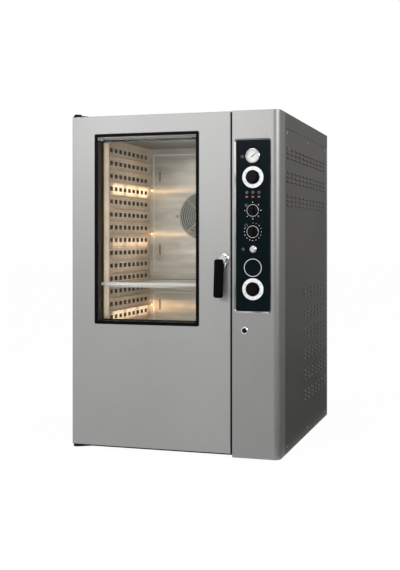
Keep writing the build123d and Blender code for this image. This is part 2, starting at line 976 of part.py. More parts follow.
# Chamber lamps: domed glasses on the baffles, in the back corners of both chamber halves
with BuildPart() as chamber_lamps:
    for lamp_x in (chamber_left + lamp_inset, chamber_right - lamp_inset):
        for lamp_z in lamp_heights:
            turned(
                lamp_x,
                lamp_z,
                [
                    (0, baffle_depth),
                    (lamp_radius, baffle_depth),
                    (lamp_radius, baffle_depth - lamp_base),
                    (lamp_radius - 2, baffle_depth - lamp_base - 2),
                    (lamp_radius - 3, baffle_depth - lamp_proud + 3),
                    (lamp_radius - 6, baffle_depth - lamp_proud),
                    (0, baffle_depth - lamp_proud),
                ],
            )
finish(chamber_lamps, "chamber_lamps")

# Temperature probe: thin tube from the upper baffle, beside the grille
with BuildPart() as temperature_probe:
    probe_x = fan_x - grille_radius - probe_grille_gap
    probe_seat = baffle_depth - probe_base_height
    rod_back(probe_x, upper_fan_height, probe_seat, baffle_depth, probe_base_radius)
    rod_back(probe_x, upper_fan_height, baffle_depth - probe_length, probe_seat, probe_radius)
finish(temperature_probe, "temperature_probe")

# Panel screws: round heads on the baffles and on the side panel
with BuildPart() as panel_screws:
    for fan_z in fan_heights:
        for screw_x, screw_z in (
            (chamber_left + baffle_screw_upper_inset, fan_z + baffle_screw_rise),
            (chamber_right - baffle_screw_upper_inset, fan_z + baffle_screw_rise),
            (chamber_left + baffle_screw_lower_inset, fan_z - baffle_screw_drop),
            (chamber_right - baffle_screw_lower_inset, fan_z - baffle_screw_drop),
            (fan_x - inner_screw_offset, fan_z - inner_screw_drop),
            (fan_x + inner_screw_offset, fan_z - inner_screw_drop),
        ):
            rod_back(screw_x, screw_z, baffle_depth - baffle_screw_head, baffle_depth, screw_radius)
    for screw_depth in (
        column_side_depth + side_screw_front,
        side_screw_middle,
        overall_depth - rear_flange - side_screw_back,
    ):
        for screw_z in (side_screw_low, panel_top - side_screw_drop):
            head_middle = (side + side_screw_head / 2, y_at(screw_depth), screw_z)
            with Locations(Location(head_middle, (0, 90, 0))):
                Cylinder(screw_radius, side_screw_head)
finish(panel_screws, "panel_screws")

# Burner with its blower, standing on the base pan in the machine compartment
machine_left = wool_right + machine_gap
blower_x = machine_left + blower_offset
with BuildPart() as burner:
    block(machine_left, burner_right, burner_front, burner_back, base_plate, burner_top)
    rod_back(blower_x, blower_height, blower_front, blower_back, blower_radius)
    block(
        blower_x - blower_neck_half,
        blower_x + blower_neck_half,
        blower_front,
        blower_back,
        burner_top,
        blower_height,
    )
finish(burner, "burner")

# Electrical box on the insulation's side wall
with BuildPart() as electrical_box:
    block(wool_right, machine_left + box_width, box_front, box_back, box_low, box_high)
    block(
        machine_left,
        machine_left + box_width - sheet,
        box_front + sheet,
        box_back - sheet,
        box_low + box_wall,
        box_high - box_wall,
        Mode.SUBTRACT,
    )
    block(
        machine_left + box_wall,
        machine_left + box_wall + board_thickness,
        box_front + board_margin,
        box_back - board_margin,
        box_low + box_wall,
        box_high - board_margin,
    )
finish(electrical_box, "electrical_box")

# Roof outlets: the flue and the steam vent, with collars on the roof panel
with BuildPart() as roof_outlets:
    for pipe_x, radius, rise in ((fan_x, flue_radius, flue_rise), (vent_x, vent_radius, vent_rise)):
        pipe_low = roof_under - roof_pipe_inside
        pipe_high = overall_height + rise
        rod_up(pipe_x, flue_depth, pipe_low, pipe_high, radius)
        rod_up(pipe_x, flue_depth, overall_height, overall_height + roof_flange, radius + collar_width)
        rod_up(pipe_x, flue_depth, pipe_low - 1, pipe_high + 1, radius - pipe_wall, Mode.SUBTRACT)
finish(roof_outlets, "roof_outlets")


def service_stub(stub_z, radius, bore):
    """Pipe stub through the rear cover, with a collar inside and outside."""
    inner_end = overall_depth - stub_inside
    cover_inside = overall_depth - sheet
    collar = radius + stub_collar
    rod_back(service_x, stub_z, inner_end, overall_depth + pipe_stub, radius)
    rod_back(service_x, stub_z, cover_inside - stub_nut, cover_inside, collar)
    rod_back(service_x, stub_z, overall_depth, overall_depth + stub_flange, collar)
    rod_back(service_x, stub_z, inner_end - 1, overall_depth + pipe_stub + 1, bore, Mode.SUBTRACT)


with BuildPart() as service_inlets:
    service_stub(gas_height, gas_radius, gas_radius - pipe_wall)
    service_stub(water_height, water_radius, water_radius - pipe_wall)
    service_stub(cable_height, gland_radius, cable_radius)
finish(service_inlets, "service_inlets")

# Drain pipe: down from the chamber floor, then to the back between the rails
with BuildPart() as drain_pipe:
    collar = drain_radius + stub_collar
    rod_back(drain_x, drain_height, overall_depth, overall_depth + stub_flange, collar)
    rod_up(drain_x, drain_depth, drain_height, liner_low, drain_radius)
    rod_back(drain_x, drain_height, drain_depth, overall_depth + pipe_stub, drain_radius)
    with Locations((drain_x, y_at(drain_depth), drain_height)):
        Sphere(drain_radius)
    rod_up(drain_x, drain_depth, drain_height, liner_low + 1, drain_radius - pipe_wall, Mode.SUBTRACT)
    rod_back(
        drain_x,
        drain_height,
        drain_depth,
        overall_depth + pipe_stub + 1,
        drain_radius - pipe_wall,
        Mode.SUBTRACT,
    )
finish(drain_pipe, "drain_pipe")


def bracket_outline(plane, reach_depth, reach_right):
    """Plan of a hinge bracket: a round eye at the pin that widens to its seat."""
    with BuildSketch(plane) as outline:
        with Locations((pin_x, y_at(pin_depth))):
            Circle(bracket_radius)
        with BuildLine():
            Polyline(
                (pin_x - bracket_radius, y_at(pin_depth)),
                (pin_x + 8, y_at(pin_depth - 20)),
                (reach_right, y_at(base_setback - 4)),
                (reach_right, y_at(reach_depth)),
                (-side, y_at(reach_depth)),
                (-side, y_at(base_setback - 4)),
                close=True,
            )
        make_face()
    return outline.sketch


# Hinge brackets: the top one bolted on the roof, the bottom one on the sill's face
bottom_bracket_low = 2.0
bottom_bracket_top = door_bottom - 2.5
top_boss = overall_height + bracket_boss_height
bracket_top = overall_height + bracket_thickness
with BuildPart() as hinge_brackets:
    upper_outline = bracket_outline(Plane.XY.offset(overall_height), bracket_back, -side + bracket_width)
    extrude(upper_outline, amount=bracket_thickness)
    rod_up(pin_x, pin_depth, bracket_top, top_boss, bracket_boss_radius)
    bolt_x = -side + bracket_bolt_inset
    for bolt_depth in bracket_bolt_depths:
        rod_up(bolt_x, bolt_depth, bracket_top, bracket_top + bracket_bolt_head, bracket_bolt_radius)
    lower_plane = Plane.XY.offset(bottom_bracket_low)
    lower_outline = bracket_outline(lower_plane, base_setback, -side + lower_bracket_width)
    extrude(lower_outline, amount=bottom_bracket_top - bottom_bracket_low)
    rod_up(pin_x, pin_depth, 0, top_boss + 1, pin_radius, Mode.SUBTRACT)
finish(hinge_brackets, "hinge_brackets")
with BuildPart() as hinge_pins:
    pin_reach = bush_length - pin_bush_gap
    rod_up(pin_x, pin_depth, door_top - pin_reach, top_boss + 1, pin_radius)
    rod_up(pin_x, pin_depth, top_boss, top_boss + pin_head_height, pin_head_radius)
    rod_up(pin_x, pin_depth, bottom_bracket_low, door_bottom + pin_reach, pin_radius)
finish(hinge_pins, "hinge_pins")

# Door skin: folded pan with the window's cut-out
door_left = -side
with BuildPart() as door_skin:
    block(door_left, door_right, 0, door_thickness, door_bottom, door_top)
    front_edges = edges().group_by(Axis.Y)[0]
    fillet(front_edges, door_edge)
    block(
        door_left + heavy_sheet,
        door_right - heavy_sheet,
        heavy_sheet,
        door_thickness,
        door_bottom + heavy_sheet,
        door_top - heavy_sheet,
        Mode.SUBTRACT,
    )
    extrude(window_face(10, trim_lap, window_corner - trim_lap), amount=20, mode=Mode.SUBTRACT)
    rod_up(pin_x, pin_depth, door_bottom - 1, door_top + 1, bush_radius + touch, Mode.SUBTRACT)
    rod_back(handle_x, handle_height, -1, 5, spindle_radius + 4, Mode.SUBTRACT)
    bolt_low = handle_height - cam_peg_offset * 0.85 - bolt_height / 2
    bolt_high = bolt_low + bolt_height
    bolt_front = cam_depth + cam_thickness + 1
    bolt_back = bolt_front + bolt_thickness
    block(
        door_right - 5,
        door_right + 1,
        bolt_front - touch,
        bolt_back + touch,
        bolt_low - touch,
        bolt_high + touch,
        Mode.SUBTRACT,
    )
finish(door_skin, "door_skin")

# Door inner panel: flat sheet between the skin's returns
panel_inset = heavy_sheet + 0.1
with BuildPart() as door_inner_panel:
    block(
        door_left + panel_inset,
        door_right - panel_inset,
        door_thickness - sheet,
        door_thickness,
        door_bottom + panel_inset,
        door_top - panel_inset,
    )
    reveal_out = window_border - sheet
    extrude(
        window_face(door_thickness + 1, reveal_out, window_corner - reveal_out),
        amount=5,
        mode=Mode.SUBTRACT,
    )
finish(door_inner_panel, "door_inner_panel")

# Window trim: black frame that laps the skin and holds the outer glass
with BuildPart() as window_trim:
    extrude(window_face(0, 0, window_corner), amount=trim_proud)
    extrude(
        window_face(trim_depth, trim_lap + touch, window_corner - trim_lap),
        amount=trim_depth,
    )
    extrude(window_face(trim_depth + 1, window_border, 1), amount=30, mode=Mode.SUBTRACT)
    extrude(
        window_face(trim_depth + 1, window_border - glass_lap - touch, 1),
        amount=trim_depth + 1,
        mode=Mode.SUBTRACT,
    )
finish(window_trim, "window_trim")

# Outer glass behind the trim's lip
with BuildPart() as door_outer_glass:
    extrude(window_face(outer_glass, window_border - glass_lap, 1), amount=outer_glass)
finish(door_outer_glass, "door_outer_glass")

# Window reveal: dark tube from the outer glass to the inner panel, with a lip for the inner glass
with BuildPart() as window_reveal:
    extrude(window_face(door_thickness, window_border - sheet, 1), amount=door_thickness - outer_glass)
    extrude(
        window_face(door_thickness + 1, window_border + reveal_lip, 1), amount=80, mode=Mode.SUBTRACT
    )
    extrude(
        window_face(inner_glass_depth + inner_glass, window_border, 1),
        amount=80,
        mode=Mode.SUBTRACT,
    )
finish(window_reveal, "window_reveal")

# Glazing bar between the two inner glasses
inner_left = window_left + window_border
inner_right = window_right - window_border
inner_low = window_low + window_border
inner_high = window_high - window_border
bar_low = bar_centre - bar_height / 2
bar_high = bar_centre + bar_height / 2
glass_back = inner_glass_depth + inner_glass
with BuildPart() as glazing_bar:
    block(inner_left, inner_right, bar_depth, glass_back, bar_low, bar_high)
    fillet(edges().filter_by(Axis.X).group_by(Axis.Y)[0], 2)
finish(glazing_bar, "glazing_bar")
with BuildPart() as door_inner_glass:
    block(inner_left + 1, inner_right - 1, inner_glass_depth, glass_back, bar_high, inner_high - 1)
    block(inner_left + 1, inner_right - 1, inner_glass_depth, glass_back, inner_low + 1, bar_low)
finish(door_inner_glass, "door_inner_glass")

# Latch case inside the door, with the cam's pocket and the bolt's channel
case_left = handle_x - case_left_reach
case_right = door_right - heavy_sheet
bolt_left = handle_x - bolt_left_reach
bolt_right = column_left - bolt_tip_gap
with BuildPart() as latch_case:
    case_front = cam_depth - case_wall
    case_back = bolt_back + case_wall
    case_low = bolt_low - case_drop
    case_high = handle_height + case_rise
    block(case_left, case_right, case_front, case_back, case_low, case_high)
    rod_back(handle_x, handle_height, case_front - 1, cam_depth + 1, spindle_radius + 0.5, Mode.SUBTRACT)
    rod_back(handle_x, handle_height, cam_depth - touch, bolt_front + 0.5, cam_radius + 1, Mode.SUBTRACT)
    block(
        case_left + case_wall,
        case_right + 1,
        bolt_front - touch,
        bolt_back + touch,
        bolt_low - touch,
        bolt_high + touch,
        Mode.SUBTRACT,
    )
finish(latch_case, "latch_case")

# Door insulation round the window, cut out for the latch case and the hinge bushes
with BuildPart() as door_insulation:
    wool_gap = heavy_sheet + touch
    block(
        door_left + wool_gap,
        door_right - wool_gap,
        heavy_sheet,
        door_thickness - sheet,
        door_bottom + wool_gap,
        door_top - wool_gap,
    )
    fillet(edges().group_by(Axis.Y)[0], door_edge)
    extrude(window_face(door_thickness, trim_lap, 1), amount=door_thickness, mode=Mode.SUBTRACT)
    rod_up(pin_x, pin_depth, door_bottom, door_top, bush_radius + touch, Mode.SUBTRACT)
    rod_back(handle_x, handle_height, 0, cam_depth, spindle_radius + 4, Mode.SUBTRACT)
    block(case_left, door_right, case_front, case_back, case_low, case_high, Mode.SUBTRACT)
finish(door_insulation, "door_insulation")

# Hinge bushes with thrust flanges
with BuildPart() as hinge_bushes:
    rod_up(pin_x, pin_depth, door_top - bush_length, door_top, bush_radius)
    rod_up(pin_x, pin_depth, door_top, overall_height - touch, bush_flange_radius)
    rod_up(pin_x, pin_depth, door_bottom, door_bottom + bush_length, bush_radius)
    rod_up(pin_x, pin_depth, bottom_bracket_top + touch, door_bottom, bush_flange_radius)
    rod_up(pin_x, pin_depth, 0, overall_height + 1, pin_radius + running_gap, Mode.SUBTRACT)
finish(hinge_bushes, "hinge_bushes")

# Door gasket round the mouth, just clear of the front frame
with BuildPart() as door_gasket:
    gasket_face = body_setback - touch
    for grow, mode in ((gasket_margin + gasket_width, Mode.ADD), (gasket_margin, Mode.SUBTRACT)):
        block(
            mouth_left - grow,
            mouth_right + grow,
            door_thickness,
            gasket_face,
            mouth_low - grow,
            mouth_high + grow,
            mode,
        )
    fillet(edges().filter_by(Axis.Y), 0.9 * gasket_margin)
finish(door_gasket, "door_gasket")

# Latch bolt with the slot for the cam's peg
peg_drop = cam_peg_offset * math.sin(math.radians(45))
with BuildPart() as latch_bolt:
    block(bolt_left, bolt_right, bolt_front, bolt_back, bolt_low, bolt_high)
    peg_x = handle_x + cam_peg_offset * math.cos(math.radians(45))
    slot_half = cam_peg_radius + 0.6
    block(
        peg_x - slot_half,
        peg_x + slot_half,
        bolt_front - 1,
        bolt_back + 1,
        handle_height - cam_peg_offset - slot_half,
        handle_height - peg_drop + slot_half,
        Mode.SUBTRACT,
    )
    chamfer(edges().filter_by(Axis.Z).group_by(Axis.X)[-1], 1.5)
finish(latch_bolt, "latch_bolt")

# Handle rose on the door face
with BuildPart() as handle_rose:
    turned(
        handle_x,
        handle_height,
        [
            (spindle_radius + running_gap, 0),
            (rose_radius, 0),
            (rose_radius, -rose_thickness / 2),
            (rose_radius - 4, -rose_thickness),
            (rose_neck_radius + 1, -rose_thickness - 1),
            (rose_neck_radius, 2 - hub_back),
            (spindle_radius + running_gap, 2 - hub_back),
        ],
    )
finish(handle_rose, "handle_rose")

# Places on the handle's arm and grip, which lean out towards their lower end
flare = math.radians(grip_flare)
grip_top = handle_height - grip_drop
grip_x = handle_x + grip_side_shift


def leaning_plane(behind, below):
    """Plane along the grip, facing the front: so far behind its middle and below its top."""
    return Plane(
        origin=(
            grip_x,
            y_at(-grip_stand) + behind * math.cos(flare) - below * math.sin(flare),
            grip_top - behind * math.sin(flare) - below * math.cos(flare),
        ),
        x_dir=(1, 0, 0),
        z_dir=(0, -math.cos(flare), math.sin(flare)),
    )


# Handle spindle with the cam disc and its peg, the hub's screw and the two screws of the grip
cam_back = cam_depth + cam_thickness
arm_back = grip_thickness / 2 + arm_thickness
hub_screw_height = handle_height + hub_screw_rise
with BuildPart() as handle_spindle:
    rod_back(handle_x, handle_height, -hub_back - 4, cam_depth + 1, spindle_radius)
    rod_back(handle_x, handle_height, cam_depth + touch, cam_back, cam_radius)
    rod_back(peg_x, handle_height - peg_drop, cam_back, bolt_back - 1, cam_peg_radius)
    rod_back(handle_x, hub_screw_height, -hub_front - 0.6, -hub_front + 3, hub_screw_radius)
    block(
        handle_x - hub_screw_radius + 1,
        handle_x + hub_screw_radius - 1,
        -hub_front - 2,
        -hub_front,
        hub_screw_height - 0.5,
        hub_screw_height + 0.5,
        Mode.SUBTRACT,
    )
    with BuildSketch(leaning_plane(arm_back + grip_screw_height, 0)):
        with Locations(*[(grip_screw_shift, -place * arm_length) for place in grip_screw_places]):
            Circle(grip_screw_radius)
    extrude(amount=grip_screw_height)
finish(handle_spindle, "handle_spindle")

# Handle hub: domed head on the spindle with an arm that lies along the grip's back
with BuildPart() as handle_hub:
    turned(
        handle_x,
        handle_height,
        [
            (0, -hub_back),
            (hub_radius - 2, -hub_back),
            (hub_radius, -hub_back - 2),
            (hub_radius, -hub_front + 5),
            (hub_radius - 2, -hub_front + 1.5),
            (hub_radius - 5, -hub_front),
            (0, -hub_front),
        ],
    )
    hub_reach = handle_x - grip_x + hub_radius
    arm_foot = grip_width / 2 - 1
    with BuildSketch(leaning_plane(arm_back, 0)):
        with BuildLine():
            Polyline(
                (-6, 0),
                (hub_reach, 0),
                (hub_reach - 6, -0.4 * arm_length),
                (arm_foot, -arm_length),
                (2, -arm_length),
                (-6, -0.8 * arm_length),
                close=True,
            )
        make_face()
        fillet(vertices().sort_by(Axis.Z)[0:3], 4)
    extrude(amount=arm_thickness)
    rod_back(handle_x, handle_height, -hub_back - 4, -hub_back + 1, spindle_radius, Mode.SUBTRACT)
    rod_back(handle_x, hub_screw_height, -hub_front - 1, -hub_front + 3, hub_screw_radius, Mode.SUBTRACT)
finish(handle_hub, "handle_hub")

# Handle grip: rounded black slab that leans out towards its end and laps the hub's lower half
with BuildPart() as handle_grip:
    with BuildSketch(leaning_plane(grip_thickness / 2, grip_length / 2)):
        RectangleRounded(grip_width, grip_length, grip_corner)
    extrude(amount=grip_thickness)
    fillet(faces().sort_by(Axis.Y)[0].edges(), 6)
    fillet(faces().sort_by(Axis.Y)[-1].edges(), 3)
    rod_back(handle_x, handle_height, -hub_front, 0, hub_radius, Mode.SUBTRACT)
finish(handle_grip, "handle_grip")

# Control fascia: black plate in the recess, with the holes for the controls
with BuildPart() as control_fascia:
    with BuildSketch(upright(recess_depth)) as fascia_plate:
        with Locations((control_x, (fascia_low + fascia_high) / 2)):
            RectangleRounded(
                fascia_right - fascia_left - 2 * touch,
                fascia_high - fascia_low - 2 * touch,
                fascia_corner,
            )
        with Locations((control_x, gauge_height)):
            Circle(gauge_case_radius + touch, mode=Mode.SUBTRACT)
        with Locations(*[(control_x, height) for height in dial_heights + knob_heights]):
            Circle(control_shaft_radius + 2, mode=Mode.SUBTRACT)
        with Locations((control_x, push_button_height)):
            Circle(push_radius + 1, mode=Mode.SUBTRACT)
        with Locations((control_x, lamp_height)):
            with GridLocations(lamp_pitch, 1, 3, 1):
                Rectangle(2 * lens_half_width + 0.4, 2 * lens_half_height + 0.4, mode=Mode.SUBTRACT)
    extrude(amount=fascia_thickness)
finish(control_fascia, "control_fascia")

# Gauge: case, white dial, needle, lens and bezel
gauge_front = fascia_face - gauge_proud
with BuildPart() as gauge_case:
    turned(
        control_x,
        gauge_height,
        [
            (0, fascia_face - 2),
            (gauge_radius - 2.5, fascia_face - 2),
            (gauge_radius - 2.5, gauge_front),
            (gauge_radius, gauge_front),
            (gauge_radius, fascia_face),
            (gauge_case_radius, fascia_face),
            (gauge_case_radius, gauge_case_end),
            (gauge_stub_radius, gauge_case_end),
            (gauge_stub_radius - 2, gauge_stub_end),
            (0, gauge_stub_end),
        ],
    )
    rod_back(control_x, gauge_height, fascia_face - 3, fascia_face + 5, 1.05, Mode.SUBTRACT)
finish(gauge_case, "gauge_case")

# Scale plates: the gauge's dial and the rings on the fascia round the dial knobs
with BuildPart() as scale_plates:
    rod_back(control_x, gauge_height, fascia_face - 3, fascia_face - 2, gauge_radius - 2.8)
    rod_back(control_x, gauge_height, fascia_face - 4, fascia_face, 1.5, Mode.SUBTRACT)
    for centre_z in dial_heights:
        turned(
            control_x,
            centre_z,
            [
                (dial_knob_radius - 4, fascia_face),
                (dial_radius, fascia_face),
                (dial_radius, fascia_face - 1.4),
                (dial_radius - 0.8, fascia_face - 2),
                (dial_knob_radius - 4, fascia_face - 2),
            ],
        )
finish(scale_plates, "scale_plates")

# Gauge needle on its arbor
with BuildPart() as gauge_needle:
    needle_depth = fascia_face - 4.2
    rod_back(control_x, gauge_height, needle_depth, fascia_face + 4, 1.0)
    with BuildSketch(upright(needle_depth + 0.8)) as pointer:
        with Locations((control_x, gauge_height)):
            Circle(3)
        with BuildLine(upright(needle_depth + 0.8)):
            Polyline(
                (control_x - 2.2, gauge_height - 9),
                (control_x + 2.2, gauge_height - 9),
                (control_x + 0.5, gauge_height + gauge_radius - 9),
                (control_x - 0.5, gauge_height + gauge_radius - 9),
                close=True,
            )
        make_face()
    arbor_axis = Axis((control_x, 0, gauge_height), (0, 1, 0))
    extrude(pointer.sketch.rotate(arbor_axis, needle_angle), amount=0.8)
finish(gauge_needle, "gauge_needle")
with BuildPart() as gauge_lens:
    rod_back(control_x, gauge_height, gauge_front, gauge_front + 1.5, gauge_radius - 2.8)
finish(gauge_lens, "gauge_lens")


def dial_knob(name, centre_z):
    """Black dial knob: skirt, fluted grip and a shaft through the fascia."""
    skirt_back = fascia_face - 2 - touch
    with BuildPart() as knob:
        turned(
            control_x,
            centre_z,
            [
                (0, skirt_back),
                (dial_knob_radius, skirt_back),
                (dial_knob_radius, skirt_back - 5),
                (dial_knob_radius - 3, skirt_back - 8),
                (0, skirt_back - 8),
            ],
        )
        with BuildSketch(upright(skirt_back - 8)):
            with Locations((control_x, centre_z)):
                Circle(dial_grip_radius)
                with PolarLocations(dial_grip_radius + 0.4, dial_flutes):
                    Circle(1.6, mode=Mode.SUBTRACT)
        extrude(amount=dial_knob_height - 10)
        grip_front = skirt_back - dial_knob_height + 2
        rod_back(control_x, centre_z, grip_front - 2, grip_front, dial_grip_radius - 3)
        rod_back(control_x, centre_z, skirt_back, shaft_end, control_shaft_radius)
    finish(knob, name)


def small_knob(name, centre_z):
    """Black knob with a grip bar across it and a shaft through the fascia."""
    knob_back = fascia_face - touch
    with BuildPart() as knob:
        turned(
            control_x,
            centre_z,
            [
                (0, knob_back),
                (small_knob_radius, knob_back),
                (small_knob_radius, knob_back - 5),
                (small_knob_radius - 2, knob_back - 7),
                (0, knob_back - 8),
            ],
        )
        with BuildSketch(upright(knob_back - 5)) as bar:
            with Locations((control_x, centre_z)):
                SlotOverall(2 * small_knob_radius - 3, 12, rotation=90)
        extrude(bar.sketch, amount=small_knob_height - 5)
        fillet(edges().group_by(Axis.Y)[0], 2)
        rod_back(control_x, centre_z, knob_back - 1, shaft_end, control_shaft_radius)
    finish(knob, name)


dial_knob("upper_dial_knob", upper_dial_height)
dial_knob("lower_dial_knob", lower_dial_height)
small_knob("steam_knob", steam_knob_height)
small_knob("timer_knob", timer_knob_height)

# The two push buttons: middle, seat, radius, outer radius, travel and the stem's end
buttons = (
    (
        control_x,
        push_button_height,
        fascia_face,
        recess_depth,
        push_radius,
        push_bezel_radius,
        push_travel,
        push_stem_end,
    ),
    (
        reset_centre_x,
        reset_height,
        0.0,
        heavy_sheet,
        reset_radius,
        reset_bezel_radius,
        reset_travel,
        reset_stem_end,
    ),
)

# Chrome bezels round the gauge, the small knobs and the push buttons
with BuildPart() as control_bezels:
    turned(
        control_x,
        gauge_height,
        [
            (gauge_radius - 4, gauge_front),
            (gauge_radius - 4, gauge_front - 1),
            (gauge_radius - 1, gauge_front - 2.2),
            (gauge_radius + 0.6, gauge_front - 1),
            (gauge_radius + 0.6, gauge_front),
        ],
    )
    for centre_z in knob_heights:
        turned(
            control_x,
            centre_z,
            [
                (small_knob_radius + 0.5, fascia_face),
                (small_knob_radius + 0.5, fascia_face - 2),
                (small_knob_radius + 2, fascia_face - 4),
                (small_ring_radius - 1, fascia_face - 3),
                (small_ring_radius, fascia_face - 1),
                (small_ring_radius, fascia_face),
            ],
        )
    for x, z, face, seat, radius, bezel_radius, travel, stem_end in buttons:
        turned(
            x,
            z,
            [
                (radius + touch, face),
                (radius + touch, face - travel),
                (radius + 2, face - travel - 1),
                (bezel_radius - 1, face - 2),
                (bezel_radius, face - 1),
                (bezel_radius, face),
            ],
        )
finish(control_bezels, "control_bezels")


def push_button(name, x, z, face, radius, travel, stem_end):
    """Round push button with a stem that ends above its switch."""
    with BuildPart() as button:
        turned(
            x,
            z,
            [
                (0, face + 1),
                (radius, face + 1),
                (radius, face - travel - 1.5),
                (radius - 1.5, face - travel - 2.5),
                (0, face - travel - 2.5),
            ],
        )
        rod_back(x, z, face, stem_end, stem_radius)
    finish(button, name)


for name, (x, z, face, seat, radius, bezel_radius, travel, stem_end) in zip(
    ("push_button", "reset_button"), buttons
):
    push_button(name, x, z, face, radius, travel, stem_end)


def switch_body(centre_z, half_width, length):
    """Switch body on the back of the fascia with a bore for the knob's shaft."""
    block(
        control_x - half_width,
        control_x + half_width,
        recess_depth,
        recess_depth + length,
        centre_z - half_width,
        centre_z + half_width,
    )
    rod_back(control_x, centre_z, 0, shaft_end + 2, control_shaft_radius + running_gap, Mode.SUBTRACT)


# Control switches: thermostats, rotary switches, and a switch behind each push button
with BuildPart() as control_switches:
    for centre_z in dial_heights:
        switch_body(centre_z, dial_switch_half, dial_switch_length)
    for centre_z in knob_heights:
        switch_body(centre_z, knob_switch_half, knob_switch_length)
    for x, z, face, seat, radius, bezel_radius, travel, stem_end in buttons:
        block(
            x - button_switch_half,
            x + button_switch_half,
            seat,
            stem_end + button_switch_length,
            z - button_switch_half,
            z + button_switch_half,
        )
        rod_back(x, z, seat - 1, stem_end + travel + 1, stem_radius + touch, Mode.SUBTRACT)
        rod_back(x, z, seat - 1, seat + travel + 2, radius + 1, Mode.SUBTRACT)
finish(control_switches, "control_switches")

# Signal lamps: three small lenses through the fascia
with BuildPart() as signal_lamps:
    for step in (-1, 0, 1):
        lens_x = control_x + step * lamp_pitch
        for half_width, front, half_height in (
            (lens_half_width, fascia_face - lens_proud, lens_half_height),
            (lens_body_half_width, recess_depth, lens_body_half_height),
        ):
            block(
                lens_x - half_width,
                lens_x + half_width,
                front,
                lens_body_end,
                lamp_height - half_height,
                lamp_height + half_height,
            )
finish(signal_lamps, "signal_lamps")

# Plain ring on the fascia between the push button and the lower dial
with BuildPart() as badge_ring:
    rod_back(control_x, badge_height, fascia_face - badge_proud, fascia_face, badge_radius)
    rod_back(
        control_x,
        badge_height,
        fascia_face - badge_proud - 1,
        fascia_face + 1,
        badge_radius - badge_width,
        Mode.SUBTRACT,
    )
finish(badge_ring, "badge_ring")
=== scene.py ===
import json
import math

import bmesh
import bpy
from mathutils import Matrix, Vector


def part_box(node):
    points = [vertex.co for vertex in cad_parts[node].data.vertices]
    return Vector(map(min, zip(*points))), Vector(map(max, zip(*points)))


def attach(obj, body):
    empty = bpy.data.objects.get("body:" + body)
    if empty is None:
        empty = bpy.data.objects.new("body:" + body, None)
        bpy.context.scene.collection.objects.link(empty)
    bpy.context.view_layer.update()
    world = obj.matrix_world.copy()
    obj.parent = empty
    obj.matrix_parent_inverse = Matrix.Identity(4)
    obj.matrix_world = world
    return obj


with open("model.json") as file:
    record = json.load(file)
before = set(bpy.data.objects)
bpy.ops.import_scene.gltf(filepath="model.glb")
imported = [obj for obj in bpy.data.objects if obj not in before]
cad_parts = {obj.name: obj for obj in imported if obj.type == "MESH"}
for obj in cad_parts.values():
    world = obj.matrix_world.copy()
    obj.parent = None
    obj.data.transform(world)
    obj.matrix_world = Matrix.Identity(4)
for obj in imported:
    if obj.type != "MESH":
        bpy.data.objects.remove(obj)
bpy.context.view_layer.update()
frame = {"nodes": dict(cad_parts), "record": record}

scene = bpy.context.scene
scene.view_settings.view_transform = "Standard"
nodes = frame["nodes"]
mm = 0.001

# Camera: where the photograph was taken from
camera_place = (1.5202, -5.1018, 1.0198)
camera_heading = 17.2
camera_lens = 62.65
camera_shift = -0.0805
camera_reach = 200.0

# Studio: floor, background and the fill from all round
floor_radius = 40.0
floor_sides = 96
floor_drop = 0.5 * mm
floor_grey = 0.86
floor_glow = 0.97
sky_fill = 0.72

# Studio lamps: name, place, target, width, height and power in watts.
# The key's reflection lies on the door's upper half.
studio_lamps = (
    ("key", (-1.45, -5.1, 2.4), (-0.1, -0.6, 1.5), 2.8, 0.9, 65),
    ("top", (-0.2, -1.2, 4.2), (0.1, -0.4, 1.4), 2.4, 1.6, 36),
    ("corner", (3.2, -1.8, 2.15), (0.4, -0.6, 1.5), 2.4, 1.3, 56),
)

# Grey cards beside the set: name, grey, the two ends of the foot, and the height
standing_flags = (
    ("front_flag", 0.42, (0.5, -5.7), (3.2, -5.0), 1.3),
    ("side_flag", 0.34, (3.2, -5.0), (3.2, 1.5), 1.25),
    ("back_flag", 0.80, (0.8, 4.0), (4.0, 3.0), 1.5),
)
floor_flag_grey = 0.42
floor_flag_low = (0.56, -2.5)
floor_flag_high = (4.0, 4.0)

# Colours of the light in the oven chamber
lamp_glass_warm = (1.0, 0.72, 0.42)
wall_warm = (1.0, 0.82, 0.60)
fill_warm = (1.0, 0.82, 0.62)
streak_warm = (1.0, 0.62, 0.33)
post_warm = (1.0, 0.88, 0.72)
sky_cool = (0.90, 1.0, 1.0)

# Levels of the chamber's lamps: height of the lamp and of the lit row on the wall,
# power of the band along the wall, power and height of the streak on the baffle
chamber_levels = (
    (1.290, 1.271, 0.042, 0.020, 8 * mm),
    (1.052, 0.999, 0.022, 0.020, 8 * mm),
    (0.658, 0.636, 0.030, 0.066, 60 * mm),
    (0.345, 0.375, 0.018, 0.050, 30 * mm),
)
glow_radius = 8 * mm
glow_inset = 14 * mm
glow_stand = 8 * mm
glow_power = 0.010
band_height = 50 * mm
band_length = 150 * mm
band_stand = 11 * mm
band_first = 110 * mm
band_pitch = 175 * mm
band_count = 3
streak_length = 100 * mm
streak_stand = 15 * mm
streak_drop = 6 * mm
streak_shares = ((50 * mm, 1.0), (150 * mm, 0.7), (250 * mm, 0.35))

# Fill in the chamber: where its lamps stand, and the height and power of each
fill_x = -0.16
fill_y = -0.25
fill_radius = 90 * mm
fill_levels = ((1.30, 0.52), (0.95, 0.70), (0.45, 0.85))

